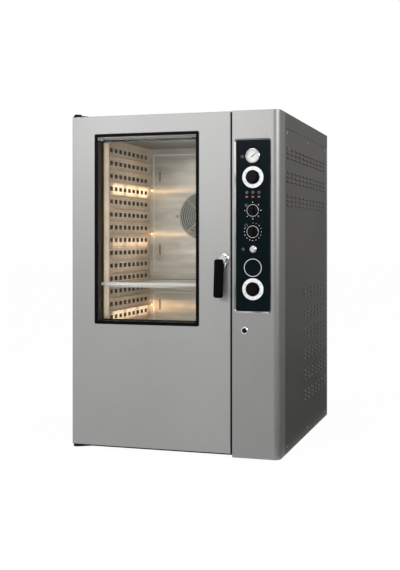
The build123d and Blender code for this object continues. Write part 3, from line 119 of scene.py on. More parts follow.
# Lamps behind the window, for the chamber and the post at its left: name, place,
# distance of the target, width, height, power and colour
window_lamps = (
    ("window_fill", (-0.02, -0.53, 1.15), 0.5, 0.3, 0.6, 1.25, sky_cool),
    ("window_fill", (-0.06, -0.53, 0.50), 0.5, 0.3, 0.6, 1.4, sky_cool),
    ("post_fill", (-0.375, -0.563, 1.07), 0.1, 0.02, 0.86, 0.08, post_warm),
)

# Places of the controls, read from the frame
fascia_low, fascia_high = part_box("control_fascia")
control_x = (fascia_low.x + fascia_high.x) / 2
fascia_y = fascia_low.y
print_thickness = 0.12 * mm


def middle_height(node):
    """Height of the middle of a node's box."""
    low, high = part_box(node)
    return (low.z + high.z) / 2


gauge_z = middle_height("gauge_case")
upper_dial_z = middle_height("upper_dial_knob")
lower_dial_z = middle_height("lower_dial_knob")
steam_z = middle_height("steam_knob")
timer_z = middle_height("timer_knob")
push_z = middle_height("push_button")
lamp_z = middle_height("signal_lamps")


def add_camera():
    data = bpy.data.cameras.new("view")
    data.lens = camera_lens
    data.shift_y = camera_shift
    data.clip_end = camera_reach
    camera = bpy.data.objects.new("view", data)
    camera.location = camera_place
    camera.rotation_euler = (math.radians(90), 0, math.radians(camera_heading))
    scene.collection.objects.link(camera)
    scene.camera = camera


def seen_directly(tree):
    """1 for rays that should find the white background: from the camera, a gloss or a glass."""
    path = tree.nodes.new("ShaderNodeLightPath")
    total = path.outputs["Is Camera Ray"]
    for ray in ("Is Glossy Ray", "Is Transmission Ray"):
        either = tree.nodes.new("ShaderNodeMath")
        either.operation = "MAXIMUM"
        tree.links.new(total, either.inputs[0])
        tree.links.new(path.outputs[ray], either.inputs[1])
        total = either.outputs["Value"]
    return total


def add_world():
    """Even fill on the object, and white where the background shows."""
    world = bpy.data.worlds.new("studio")
    world.use_nodes = True
    scene.world = world
    tree = world.node_tree
    tree.nodes.clear()
    fill = tree.nodes.new("ShaderNodeBackground")
    fill.inputs["Strength"].default_value = sky_fill
    fill.inputs["Color"].default_value = (1, 1, 1, 1)
    white = tree.nodes.new("ShaderNodeBackground")
    white.inputs["Color"].default_value = (1, 1, 1, 1)
    mix = tree.nodes.new("ShaderNodeMixShader")
    output = tree.nodes.new("ShaderNodeOutputWorld")
    tree.links.new(seen_directly(tree), mix.inputs["Fac"])
    tree.links.new(fill.outputs["Background"], mix.inputs[1])
    tree.links.new(white.outputs["Background"], mix.inputs[2])
    tree.links.new(mix.outputs["Shader"], output.inputs["Surface"])


def floor_white():
    """Matt white that goes over to the background's white, and keeps a light shadow."""
    material = bpy.data.materials.new("floor_white")
    material.use_nodes = True
    tree = material.node_tree
    surface = tree.nodes["Principled BSDF"]
    surface.inputs["Base Color"].default_value = (floor_grey, floor_grey, floor_grey, 1)
    surface.inputs["Roughness"].default_value = 0.9
    glow = tree.nodes.new("ShaderNodeEmission")
    glow.inputs["Color"].default_value = (1, 1, 1, 1)
    share = tree.nodes.new("ShaderNodeMath")
    share.operation = "MULTIPLY"
    share.inputs[1].default_value = floor_glow
    mix = tree.nodes.new("ShaderNodeMixShader")
    output = tree.nodes["Material Output"]
    tree.links.new(seen_directly(tree), share.inputs[0])
    tree.links.new(share.outputs["Value"], mix.inputs["Fac"])
    tree.links.new(surface.outputs["BSDF"], mix.inputs[1])
    tree.links.new(glow.outputs["Emission"], mix.inputs[2])
    tree.links.new(mix.outputs["Shader"], output.inputs["Surface"])
    return material


def add_floor():
    mesh = bmesh.new()
    bmesh.ops.create_circle(mesh, cap_ends=True, segments=floor_sides, radius=floor_radius)
    data = bpy.data.meshes.new("floor")
    mesh.to_mesh(data)
    mesh.free()
    data.materials.append(floor_white())
    floor = bpy.data.objects.new("floor", data)
    floor.location.z = -floor_drop
    scene.collection.objects.link(floor)


def add_lamp(name, place, target, width, height, power, colour=(1, 1, 1), glossy=True):
    """Soft rectangular lamp that looks at a target."""
    data = bpy.data.lights.new(name, "AREA")
    data.shape = "RECTANGLE"
    data.size = width
    data.size_y = height
    data.energy = power
    data.color = colour
    lamp = bpy.data.objects.new(name, data)
    lamp.location = place
    aim = Vector(target) - Vector(place)
    lamp.rotation_euler = aim.to_track_quat("-Z", "Y").to_euler()
    lamp.visible_camera = False
    lamp.visible_transmission = False
    lamp.visible_glossy = glossy
    scene.collection.objects.link(lamp)


def add_glow(name, place, radius, power, colour):
    """Small round lamp inside the oven chamber."""
    data = bpy.data.lights.new(name, "POINT")
    data.shadow_soft_size = radius
    data.energy = power
    data.color = colour
    lamp = bpy.data.objects.new(name, data)
    lamp.location = place
    lamp.visible_camera = False
    lamp.visible_transmission = False
    lamp.visible_glossy = False
    scene.collection.objects.link(lamp)


def add_flag(name, corners, grey):
    """Grey card beside the set. Only reflections find it, so it shades the metal's far side."""
    data = bpy.data.meshes.new(name)
    data.from_pydata(corners, [], [(0, 1, 2, 3)])
    flag = bpy.data.objects.new(name, data)
    material = bpy.data.materials.new(name)
    material.use_nodes = True
    surface = material.node_tree.nodes["Principled BSDF"]
    surface.inputs["Base Color"].default_value = (grey, grey, grey, 1)
    surface.inputs["Roughness"].default_value = 1.0
    surface.inputs["Specular IOR Level"].default_value = 0.0
    data.materials.append(material)
    flag.visible_camera = False
    flag.visible_diffuse = False
    flag.visible_shadow = False
    flag.visible_transmission = False
    scene.collection.objects.link(flag)


def light_studio():
    """A soft box, a top light, a light for the rounded corner, and the grey cards."""
    for lamp in studio_lamps:
        add_lamp(*lamp)
    for name, grey, start, end, height in standing_flags:
        corners = [(*start, 0.0), (*end, 0.0), (*end, height), (*start, height)]
        add_flag(name, corners, grey)
    left, near = floor_flag_low
    right, far = floor_flag_high
    corners = [(left, near, 0.0), (right, near, 0.0), (right, far, 0.0), (left, far, 0.0)]
    add_flag("floor_flag", corners, floor_flag_grey)


def light_wall(wall_x, inward, baffle_front, row_z, power):
    """Band of light along a perforated wall, as the lamp beside it throws."""
    for step in range(band_count):
        band_y = baffle_front - band_first - step * band_pitch
        place = (wall_x + inward * band_stand, band_y, row_z)
        target = (wall_x, band_y, row_z)
        add_lamp("wall_band", place, target, band_length, band_height, power, wall_warm)


def light_baffle(wall_x, inward, baffle_front, streak_z, power, height):
    """Streak on the back baffle that starts at the wall and fades towards the middle."""
    for reach, share in streak_shares:
        streak_x = wall_x + inward * reach
        place = (streak_x, baffle_front - streak_stand, streak_z)
        target = (streak_x, baffle_front, streak_z)
        add_lamp(
            "baffle_streak", place, target, streak_length, height, power * share, streak_warm, False
        )


def light_chamber():
    """Warm light of the chamber's lamps on both sides, its fill, and the lamps behind the window."""
    lamp_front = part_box("chamber_lamps")[0].y
    walls_low, walls_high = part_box("tray_runners")
    baffle_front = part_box("back_baffles")[0].y
    for wall_x, inward in ((walls_low.x, 1), (walls_high.x, -1)):
        for glow_z, row_z, band_power, streak_power, streak_height in chamber_levels:
            place = (wall_x + inward * glow_inset, lamp_front - glow_stand, glow_z)
            add_glow("chamber_glow", place, glow_radius, glow_power, lamp_glass_warm)
            light_wall(wall_x, inward, baffle_front, row_z, band_power)
            streak_z = glow_z - streak_drop
            light_baffle(wall_x, inward, baffle_front, streak_z, streak_power, streak_height)
    for fill_z, power in fill_levels:
        add_glow("chamber_fill", (fill_x, fill_y, fill_z), fill_radius, power, fill_warm)
    for name, place, ahead, width, height, power, colour in window_lamps:
        target = (place[0], place[1] + ahead, place[2])
        add_lamp(name, place, target, width, height, power, colour, False)


class Shader:
    """A material with short ways to vary its colour, roughness and surface."""

    def __init__(self, name, colour, metallic, roughness, settings=None):
        self.material = bpy.data.materials.new(name)
        self.material.use_nodes = True
        self.tree = self.material.node_tree
        self.surface = self.tree.nodes["Principled BSDF"]
        self.colour = colour
        self.normal = None
        self.surface.inputs["Base Color"].default_value = (*colour, 1)
        self.surface.inputs["Metallic"].default_value = metallic
        self.surface.inputs["Roughness"].default_value = roughness
        for socket, value in (settings or {}).items():
            self.surface.inputs[socket].default_value = value
        self.place = self.tree.nodes.new("ShaderNodeTexCoord").outputs["Object"]

    def join(self, output, socket):
        self.tree.links.new(output, socket)

    def noise(self, scale, stretch=(1, 1, 1), detail=3.0):
        """Noise of so many spots per metre, drawn out along an axis where stretch is small."""
        mapping = self.tree.nodes.new("ShaderNodeMapping")
        mapping.inputs["Scale"].default_value = stretch
        texture = self.tree.nodes.new("ShaderNodeTexNoise")
        texture.inputs["Scale"].default_value = scale
        texture.inputs["Detail"].default_value = detail
        self.join(self.place, mapping.inputs["Vector"])
        self.join(mapping.outputs["Vector"], texture.inputs["Vector"])
        return texture.outputs["Fac"]

    def along(self, axis, low, high):
        """0 at one place on an axis and 1 at another, even between."""
        split = self.tree.nodes.new("ShaderNodeSeparateXYZ")
        self.join(self.place, split.inputs["Vector"])
        return self.span(split.outputs[axis], 0, 1, low, high)

    def span(self, value, low, high, start=0.3, end=0.7):
        """Turns a value between start and end into one between low and high."""
        span = self.tree.nodes.new("ShaderNodeMapRange")
        span.inputs["From Min"].default_value = start
        span.inputs["From Max"].default_value = end
        span.inputs["To Min"].default_value = low
        span.inputs["To Max"].default_value = high
        self.join(value, span.inputs["Value"])
        return span.outputs["Result"]

    def times(self, first, second):
        product = self.tree.nodes.new("ShaderNodeMath")
        product.operation = "MULTIPLY"
        self.join(first, product.inputs[0])
        self.join(second, product.inputs[1])
        return product.outputs["Value"]

    def shade(self, factor):
        """Base colour times a factor that varies."""
        scale = self.tree.nodes.new("ShaderNodeVectorMath")
        scale.operation = "SCALE"
        scale.inputs[0].default_value = self.colour
        self.join(factor, scale.inputs["Scale"])
        self.join(scale.outputs["Vector"], self.surface.inputs["Base Color"])

    def blend_to(self, factor, colour, shade):
        """Base colour times a shade that goes over to a second colour where the factor is 1."""
        self.shade(shade)
        shaded = self.surface.inputs["Base Color"].links[0].from_socket
        mix = self.tree.nodes.new("ShaderNodeMix")
        mix.data_type = "RGBA"
        self.join(shaded, mix.inputs["A"])
        mix.inputs["B"].default_value = (*colour, 1)
        self.join(factor, mix.inputs["Factor"])
        self.join(mix.outputs["Result"], self.surface.inputs["Base Color"])

    def roughen(self, value):
        self.join(value, self.surface.inputs["Roughness"])

    def bump(self, height, depth):
        """Raises the surface by a height times a depth in metres."""
        bump = self.tree.nodes.new("ShaderNodeBump")
        bump.inputs["Strength"].default_value = 1.0
        bump.inputs["Distance"].default_value = depth
        self.join(height, bump.inputs["Height"])
        if self.normal:
            self.join(self.normal, bump.inputs["Normal"])
        self.normal = bump.outputs["Normal"]
        self.join(self.normal, self.surface.inputs["Normal"])


# Brush lines of sheet steel: how fine they are, how deep, and the ways they run
brush_grain = 1400.0
brush_depth = 0.004 * mm
upright_brush = (1.0, 1.0, 0.02)
level_brush = (0.02, 1.0, 1.0)
side_brush = (1.0, 0.02, 1.0)
pipe_brush = (1.0, 1.0, 0.05)


def brushed(name, colour, roughness, stretch, streak=0.05, metallic=1.0, settings=None):
    """Satin sheet steel with brush lines along the axis where stretch is small, and faint clouds."""
    steel = Shader(name, colour, metallic, roughness, settings)
    lines = steel.noise(brush_grain, stretch, 2.0)
    clouds = steel.noise(2.2, (1, 1, 1), 2.0)
    streaked = steel.span(lines, 1 - streak, 1 + streak)
    clouded = steel.span(clouds, 0.97, 1.03)
    steel.shade(steel.times(streaked, clouded))
    uneven = steel.span(clouds, roughness, roughness * 1.1)
    steel.roughen(steel.times(steel.span(lines, 0.92, 1.1), uneven))
    steel.bump(lines, brush_depth)
    return steel


def front_steel():
    return brushed("front_steel", (0.295, 0.295, 0.291), 0.45, upright_brush)


def column_steel():
    """Like the door's steel, a little smoother in the pressed edge round the control panel."""
    tint = {"Specular Tint": (0.45, 0.45, 0.44, 1)}
    steel = brushed("column_steel", (0.245, 0.244, 0.240), 0.42, upright_brush, settings=tint)
    column_low, column_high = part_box("control_column")
    front = column_low.y
    depth_mask = steel.times(
        steel.along("Y", front + 0.4 * mm, front + 1.2 * mm),
        steel.along("Y", front + 12 * mm, front + 9 * mm),
    )
    width_mask = steel.times(
        steel.along("X", fascia_low.x - 14 * mm, fascia_low.x - 11 * mm),
        steel.along("X", fascia_high.x + 14 * mm, fascia_high.x + 11 * mm),
    )
    pressed = steel.span(steel.times(depth_mask, width_mask), 1.0, 0.82, 0, 1)
    corner = steel.along("X", column_high.x - 32 * mm, column_high.x - 24 * mm)
    rounded = steel.span(corner, 0.43, 0.46, 0, 1)
    steel.roughen(steel.times(pressed, rounded))
    return steel


# Darker base and grey edge tint: partly the side and top panels' own finish, partly painted shade of
# faces turned away from the light
def casing_steel():
    tint = {"Specular Tint": (0.3, 0.3, 0.3, 1)}
    return brushed("casing_steel", (0.205, 0.201, 0.192), 0.36, side_brush, 0.08, settings=tint)


def chamber_steel():
    """The chamber's steel, stained and wiped in level streaks."""
    steel = brushed("chamber_steel", (0.60, 0.575, 0.54), 0.45, level_brush, metallic=0.55)
    smudge = steel.noise(6.0, (0.4, 1, 1), 6.0)
    wiped = steel.noise(24.0, (0.14, 1, 1), 4.0)
    stained = steel.span(smudge, 0.74, 1.16, 0.34, 0.66)
    steel.shade(steel.times(stained, steel.span(wiped, 0.84, 1.14, 0.36, 0.64)))
    steel.bump(smudge, 1.2 * mm)
    return steel


def panel_steel():
    """Cleaner satin steel of the door's inner panel."""
    steel = brushed("panel_steel", (0.46, 0.45, 0.43), 0.38, upright_brush, 0.06, metallic=0.9)
    steel.bump(steel.noise(5.0, (1, 1, 0.5), 3.0), 0.15 * mm)
    return steel


def duct_steel():
    """Brighter, warmer copy of the chamber's steel on the perforated side walls beside the lamps:
    painted warm lamp light.
    """
    steel = brushed("duct_steel", (0.70, 0.58, 0.47), 0.45, level_brush, metallic=0.5)
    smudge = steel.noise(7.0, (1, 0.35, 1), 6.0)
    steel.shade(steel.span(smudge, 0.82, 1.12, 0.32, 0.68))
    steel.bump(smudge, 0.3 * mm)
    return steel


def bead_steel():
    """Pressed edge bead of the back baffles, in a lighter, less metallic copy of the chamber's steel:
    a painted highlight along the bead.
    """
    return brushed("bead_steel", (0.62, 0.59, 0.54), 0.45, upright_brush, metallic=0.3)


def rim_steel():
    """Near-black rim of the pressed holes: painted shade round each hole."""
    steel = Shader("rim_steel", (0.050, 0.042, 0.034), 0.2, 0.6)
    steel.shade(steel.span(steel.noise(40.0), 0.7, 1.4))
    return steel


def grille_steel():
    return brushed("grille_steel", (0.36, 0.36, 0.34), 0.4, level_brush, 0.06, metallic=0.5)


def fan_steel():
    """Sheet steel of the fan wheels, dark as painted shade behind the inlet grilles."""
    return brushed("fan_steel", (0.075, 0.070, 0.064), 0.5, level_brush, 0.06, metallic=0.5)


def cover_steel():
    """Dark zinc-coated sheet of the rear cover, with its faint spangle."""
    steel = Shader("cover_steel", (0.085, 0.085, 0.082), 0.6, 0.48)
    spangle = steel.noise(90.0, (1, 1, 1), 1.0)
    clouds = steel.noise(5.0)
    steel.shade(steel.times(steel.span(spangle, 0.80, 1.20), steel.span(clouds, 0.88, 1.12)))
    steel.roughen(steel.span(spangle, 0.42, 0.56))
    steel.bump(spangle, 0.02 * mm)
    return steel


def liner_steel():
    """Darker steel of the chamber's outer shell; its dark base is painted shade, seen behind the holes
    and on the ceiling.
    """
    steel = brushed("liner_steel", (0.22, 0.215, 0.20), 0.42, level_brush, 0.06, metallic=0.7)
    steel.bump(steel.noise(7.0, (1, 1, 1), 5.0), 0.15 * mm)
    return steel


def reveal_steel():
    """Dark brown steel inside the window, with painted reflections in upright streaks, and its top
    painted pale as painted light.
    """
    steel = Shader("reveal_steel", (0.030, 0.023, 0.017), 0.0, 0.45, {"Specular IOR Level": 0.12})
    # Upright streaks: painted reflections
    streaks = steel.noise(60.0, (1.0, 1.0, 0.08), 3.0)
    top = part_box("window_reveal")[1].z
    # Pale top: painted light
    pale = steel.along("Z", top - 16 * mm, top - 14 * mm)
    steel.blend_to(pale, (0.42, 0.41, 0.38), steel.span(streaks, 0.4, 1.9))
    return steel


def dark_steel():
    """Black-painted steel of the base and the hinge brackets; on the base the black is partly painted
    shade under the door.
    """
    steel = Shader("dark_steel", (0.009, 0.009, 0.0095), 0.0, 0.5, {"Specular IOR Level": 0.08})
    steel.shade(steel.span(steel.noise(35.0), 0.8, 1.3))
    steel.bump(steel.noise(1500.0), 0.01 * mm)
    return steel


def black_trim():
    trim = Shader("black_trim", (0.0025, 0.0025, 0.003), 0.0, 0.34, {"Specular IOR Level": 0.025})
    trim.roughen(trim.span(trim.noise(60.0), 0.28, 0.4))
    trim.bump(trim.noise(700.0), 0.006 * mm)
    return trim


def fascia_black():
    plate = Shader("fascia_black", (0.0020, 0.0056, 0.0070), 0.0, 0.24, {"Specular IOR Level": 0.03})
    plate.shade(plate.span(plate.noise(14.0), 0.85, 1.15))
    plate.roughen(plate.span(plate.noise(90.0), 0.18, 0.28))
    return plate


def chrome():
    metal = Shader("chrome", (0.60, 0.60, 0.61), 1.0, 0.12)
    metal.roughen(metal.span(metal.noise(400.0), 0.08, 0.18))
    metal.bump(metal.noise(90.0), 0.01 * mm)
    return metal


def hub_chrome():
    metal = Shader("hub_chrome", (0.56, 0.56, 0.56), 1.0, 0.14)
    metal.roughen(metal.span(metal.noise(300.0), 0.10, 0.18))
    metal.bump(metal.noise(60.0), 0.01 * mm)
    return metal


def grip_plastic():
    plastic = Shader("grip_plastic", (0.0012, 0.0012, 0.0014), 0.0, 0.36, {"Specular IOR Level": 0.02})
    plastic.shade(plastic.span(plastic.noise(50.0), 0.85, 1.2))
    plastic.roughen(plastic.span(plastic.noise(120.0), 0.32, 0.46))
    plastic.bump(plastic.noise(1800.0), 0.012 * mm)
    return plastic


def knob_plastic():
    """Black moulded plastic of the knobs, a little glossier than the door's grip."""
    plastic = Shader("knob_plastic", (0.0022, 0.0022, 0.0026), 0.0, 0.28, {"Specular IOR Level": 0.06})
    plastic.roughen(plastic.span(plastic.noise(140.0), 0.24, 0.36))
    plastic.bump(plastic.noise(1600.0), 0.008 * mm)
    return plastic


def scale_white():
    enamel = Shader("scale_white", (0.80, 0.80, 0.79), 0.0, 0.35)
    enamel.shade(enamel.span(enamel.noise(60.0), 0.96, 1.03))
    enamel.bump(enamel.noise(900.0), 0.004 * mm)
    return enamel


def print_grey():
    ink = Shader("print_grey", (0.16, 0.17, 0.17), 0.0, 0.45)
    ink.shade(ink.span(ink.noise(200.0), 0.85, 1.15))
    return ink


def needle_black():
    paint = Shader("needle_black", (0.015, 0.015, 0.016), 0.0, 0.4)
    paint.shade(paint.span(paint.noise(200.0), 0.8, 1.3))
    return paint


def button_dark():
    plastic = Shader("button_dark", (0.004, 0.004, 0.0045), 0.0, 0.25, {"Specular IOR Level": 0.06})
    plastic.roughen(plastic.span(plastic.noise(150.0), 0.2, 0.32))
    return plastic


def lamp_red():
    """Lit lens: red at the top and pale below, where the lamp behind it shines through."""
    lens = Shader("lamp_red", (0.20, 0.03, 0.015), 0.0, 0.18, {"Emission Strength": 0.24})
    low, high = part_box("signal_lamps")
    rise = lens.along("Z", low.z + 3.5 * mm, high.z - 4.5 * mm)
    glow = lens.tree.nodes.new("ShaderNodeMix")
    glow.data_type = "RGBA"
    glow.inputs["A"].default_value = (1.0, 0.42, 0.26, 1)
    glow.inputs["B"].default_value = (0.55, 0.06, 0.02, 1)
    lens.join(rise, glow.inputs["Factor"])
    lens.join(glow.outputs["Result"], lens.surface.inputs["Emission Color"])
    lens.bump(lens.noise(500.0), 0.02 * mm)
    return lens


def window_glass():
    """Clear pane, too thin to bend the view, with a faint reflection from its coat."""
    clear = {
        "Transmission Weight": 1.0,
        "IOR": 1.0,
        "Alpha": 0.3,
        "Coat Weight": 0.3,
        "Coat Roughness": 0.02,
    }
    return Shader("window_glass", (0.90, 0.94, 0.92), 0.0, 0.0, clear)


def lamp_glass():
    glow = {"Emission Color": (*lamp_glass_warm, 1), "Emission Strength": 0.16}
    glass = Shader("lamp_glass", (0.42, 0.36, 0.28), 0.0, 0.25, glow)
    glass.bump(glass.noise(250.0), 0.2 * mm)
    return glass


def wool():
    fibre = Shader("wool", (0.42, 0.36, 0.24), 0.0, 0.95)
    strands = fibre.noise(260.0, (1, 0.15, 1), 6.0)
    fibre.shade(fibre.span(strands, 0.6, 1.2))
    fibre.bump(strands, 1.5 * mm)
    return fibre


def gasket_rubber():
    rubber = Shader("gasket_rubber", (0.022, 0.022, 0.022), 0.0, 0.75, {"Specular IOR Level": 0.25})
    rubber.shade(rubber.span(rubber.noise(80.0), 0.8, 1.3))
    rubber.bump(rubber.noise(900.0), 0.03 * mm)
    return rubber


def machined_steel():
    steel = Shader("machined_steel", (0.50, 0.50, 0.50), 1.0, 0.28)
    cuts = steel.noise(2500.0, (1, 0.1, 1), 2.0)
    steel.shade(steel.span(cuts, 0.92, 1.05))
    steel.roughen(steel.span(cuts, 0.22, 0.36))
    steel.bump(cuts, 0.004 * mm)
    return steel


def bush_brass():
    brass = Shader("bush_brass", (0.66, 0.46, 0.20), 1.0, 0.3)
    cuts = brass.noise(1800.0, (1, 0.1, 1), 2.0)
    brass.shade(brass.span(cuts, 0.85, 1.08))
    brass.roughen(brass.span(brass.noise(120.0), 0.24, 0.42))
    brass.bump(cuts, 0.005 * mm)
    return brass


def machine_grey():
    paint = Shader("machine_grey", (0.16, 0.17, 0.18), 0.0, 0.5)
    paint.shade(paint.span(paint.noise(20.0), 0.88, 1.1))
    paint.bump(paint.noise(1200.0), 0.03 * mm)
    return paint


def pipe_steel():
    return brushed("pipe_steel", (0.36, 0.355, 0.345), 0.38, pipe_brush, 0.06)


def switch_plastic():
    plastic = Shader("switch_plastic", (0.05, 0.05, 0.05), 0.0, 0.6)
    plastic.shade(plastic.span(plastic.noise(70.0), 0.85, 1.2))
    plastic.bump(plastic.noise(1100.0), 0.02 * mm)
    return plastic


makers = (
    front_steel, column_steel, casing_steel, chamber_steel, liner_steel, reveal_steel, dark_steel,
    panel_steel, duct_steel, bead_steel, rim_steel, grille_steel, fan_steel, cover_steel,
    black_trim, fascia_black, chrome, hub_chrome, grip_plastic, knob_plastic, scale_white,
    print_grey, needle_black, button_dark, lamp_red, window_glass, lamp_glass, wool,
    gasket_rubber, machined_steel, bush_brass, machine_grey, pipe_steel, switch_plastic,
)
finishes = {maker.__name__: maker().material for maker in makers}

# Nodes whose finish is a variant of the one that their record slot names
variant_finishes = {
    "air_ducts": "duct_steel",
    "tray_runners": "duct_steel",
    "inlet_grilles": "grille_steel",
    "upper_fan": "fan_steel",
    "lower_fan": "fan_steel",
    "rear_cover": "cover_steel",
    "door_inner_panel": "panel_steel",
    "upper_dial_knob": "knob_plastic",
    "lower_dial_knob": "knob_plastic",
    "steam_knob": "knob_plastic",
    "timer_knob": "knob_plastic",
}


def dress_frame():
    """Gives every CAD node the finish of its record slot, or its variant."""
    for subpart in frame["record"]["subparts"]:
        node = subpart["node"]
        data = nodes[node].data
        data.materials.clear()
        data.materials.append(finishes[variant_finishes.get(node, subpart["material_slot"])])


def bridge(mesh, rings):
    """Joins closed rings of corners, each to the next, with a band of faces."""
    for outer, inner in zip(rings, rings[1:]):
        count = len(outer)
        for at in range(count):
            after = (at + 1) % count
            mesh.faces.new((outer[at], inner[at], inner[after], outer[after]))


def place_piece(name, mesh, body, finish):
    """Makes a finished mesh an object that rides on a body."""
    bmesh.ops.recalc_face_normals(mesh, faces=mesh.faces)
    data = bpy.data.meshes.new(name)
    mesh.to_mesh(data)
    mesh.free()
    data.materials.append(finishes[finish])
    piece = bpy.data.objects.new(name, data)
    scene.collection.objects.link(piece)
    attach(piece, body)


def on_circle(x, z, radius, angle):
    """Point at an angle clockwise from up, in degrees."""
    turn = math.radians(angle)
    return (x + radius * math.sin(turn), z + radius * math.cos(turn))


class Print:
    """Thin marks on an upright face, drawn in X and Z and gathered in one mesh."""

    def __init__(self, face_y):
        self.mesh = bmesh.new()
        self.back = face_y
        self.front = face_y - print_thickness

    def shape(self, points):
        """Prism on a closed outline of (x, z) points."""
        front = [self.mesh.verts.new((x, self.front, z)) for x, z in points]
        back = [self.mesh.verts.new((x, self.back, z)) for x, z in points]
        self.mesh.faces.new(front)
        self.mesh.faces.new(back[::-1])
        bridge(self.mesh, (front, back))

    def disc(self, x, z, radius, sides=24):
        self.shape([on_circle(x, z, radius, step * 360 / sides) for step in range(sides)])

    def ring(self, x, z, radius, width, sides=45):
        for side in range(sides):
            start = side * 360 / sides
            end = (side + 1) * 360 / sides
            outer = radius + width / 2
            inner = radius - width / 2
            corners = ((inner, start), (outer, start), (outer, end), (inner, end))
            self.shape([on_circle(x, z, reach, angle) for reach, angle in corners])

    def tick(self, x, z, angle, inner, outer, width):
        """Straight mark that points away from a centre, at an angle clockwise from up."""
        out = Vector(on_circle(0, 0, 1, angle))
        across = Vector((out.y, -out.x)) * width / 2
        centre = Vector((x, z))
        corners = (
            centre + out * inner - across,
            centre + out * outer - across,
            centre + out * outer + across,
            centre + out * inner + across,
        )
        self.shape([tuple(corner) for corner in corners])

    def number(self, text, x, z, height):
        """A number, centred on a point."""
        curve = bpy.data.curves.new("number", "FONT")
        curve.body = text
        curve.size = height
        curve.align_x = "CENTER"
        curve.align_y = "CENTER"
        curve.extrude = print_thickness / 2
        curve.resolution_u = 3
        holder = bpy.data.objects.new("number", curve)
        flat = bpy.data.meshes.new_from_object(holder)
        upright = Matrix.Rotation(math.radians(90), 4, "X")
        flat.transform(Matrix.Translation((x, (self.front + self.back) / 2, z)) @ upright)
        self.mesh.from_mesh(flat)
        bpy.data.objects.remove(holder)
        bpy.data.curves.remove(curve)
        bpy.data.meshes.remove(flat)

    def place(self, name, slot, finish=None):
        place_piece(name, self.mesh, "oven_body", finish or slot)


# Signs on the panel: a ring with a small drawing in it
sign_radius = 6.5 * mm
sign_line = 1.0 * mm
thin_stroke = 0.8 * mm
thick_stroke = 1.6 * mm
lamp_pitch = 29.0 * mm
lamp_sign_rise = 20 * mm


def draw_drop(signs, x, z):
    """Water drop: a pointed top on a round belly."""
    belly = 2.4 * mm
    belly_z = z - 1 * mm
    outline = [(x, belly_z + 2.2 * belly)]
    outline += [on_circle(x, belly_z, belly, angle) for angle in range(60, 301, 24)]
    signs.shape(outline)


def draw_clock(signs, x, z):
    signs.tick(x, z, 0, 0, 4 * mm, thin_stroke)
    signs.tick(x, z, 90, 0, 3 * mm, thin_stroke)


def draw_fan(signs, x, z):
    for angle in (0, 90, 180, 270):
        signs.tick(x, z, angle, 0.8 * mm, 4.4 * mm, thick_stroke)


def draw_flame(signs, x, z):
    outline = ((-2.4, -3), (-2.6, 0.4), (-0.6, 4.4), (0.8, 1.6), (2.6, 2.0), (2.4, -3))
    signs.shape([(x + across * mm, z + up * mm) for across, up in outline])


def draw_grid(signs, x, z):
    for shift in (-2.4, 0, 2.4):
        signs.tick(x + shift * mm, z, 0, -3 * mm, 3 * mm, thin_stroke)


def draw_bulb(signs, x, z):
    signs.disc(x, z + 1 * mm, 2.4 * mm)
    signs.tick(x, z, 180, 1 * mm, 4 * mm, thick_stroke)


# The signs: sideways from the panel's middle line, height and drawing
panel_signs = (
    (-51 * mm, gauge_z - 2.5 * mm, draw_drop),
    (-lamp_pitch, lamp_z + lamp_sign_rise, draw_flame),
    (0, lamp_z + lamp_sign_rise, draw_fan),
    (lamp_pitch, lamp_z + lamp_sign_rise, draw_grid),
    (-31.5 * mm, steam_z + 24 * mm, draw_drop),
    (-32.5 * mm, timer_z + 29.9 * mm, draw_clock),
    (-46.1 * mm, push_z, draw_bulb),
)

# Scales round the two small knobs: ticks for the steam, growing dots for the timer
steam_ticks = 7
steam_step = 45
steam_inner = 36 * mm
steam_outer = 41 * mm
steam_stroke = 2.2 * mm
timer_dots = 14
timer_step = 22.5
timer_radius = 41 * mm
timer_first_dot = 1.1 * mm
timer_dot_growth = 0.07 * mm
timer_dot_sides = 12


def print_fascia():
    signs = Print(fascia_y)
    for across, z, draw in panel_signs:
        signs.ring(control_x + across, z, sign_radius, sign_line)
        draw(signs, control_x + across, z)
    signs.place("fascia_signs", "scale_white", "print_grey")
    marks = Print(fascia_y)
    for step in range(steam_ticks):
        marks.tick(control_x, steam_z, steam_step * step, steam_inner, steam_outer, steam_stroke)
    for step in range(timer_dots):
        x, z = on_circle(control_x, timer_z, timer_radius, timer_step * step)
        marks.disc(x, z, timer_first_dot + step * timer_dot_growth, timer_dot_sides)
    marks.place("fascia_marks", "scale_white")


# White ring round a large knob: its thickness, its numbers and the ticks between them
dial_thickness = 2 * mm
dial_numbers = 6
dial_step = 60
dial_number_radius = 42.2 * mm
dial_number_height = 6.5 * mm
dial_tick_inner = 42 * mm
dial_tick_outer = 48 * mm
dial_tick_width = 0.9 * mm


def print_dial(name, centre_z, step_value):
    """Numbers and ticks on the white ring round a dial knob."""
    marks = Print(fascia_y - dial_thickness)
    for step in range(dial_numbers):
        x, z = on_circle(control_x, centre_z, dial_number_radius, step * dial_step)
        marks.number(str(step * step_value), x, z, dial_number_height)
        if step < dial_numbers - 1:
            angle = (step + 0.5) * dial_step
            marks.tick(control_x, centre_z, angle, dial_tick_inner, dial_tick_outer, dial_tick_width)
    marks.place(name, "needle_black")


# Scale of the pressure gauge: how far its face stands out, its ticks and its numbers
gauge_face = 3 * mm
gauge_start = -135
gauge_ticks = 31
gauge_tick_step = 9
gauge_long_every = 5
gauge_long_inner = 22.5 * mm
gauge_short_inner = 24.5 * mm
gauge_tick_outer = 27 * mm
gauge_tick_width = 0.5 * mm
gauge_numbers = 7
gauge_number_step = 45
gauge_number_radius = 18.5 * mm
gauge_number_height = 5 * mm


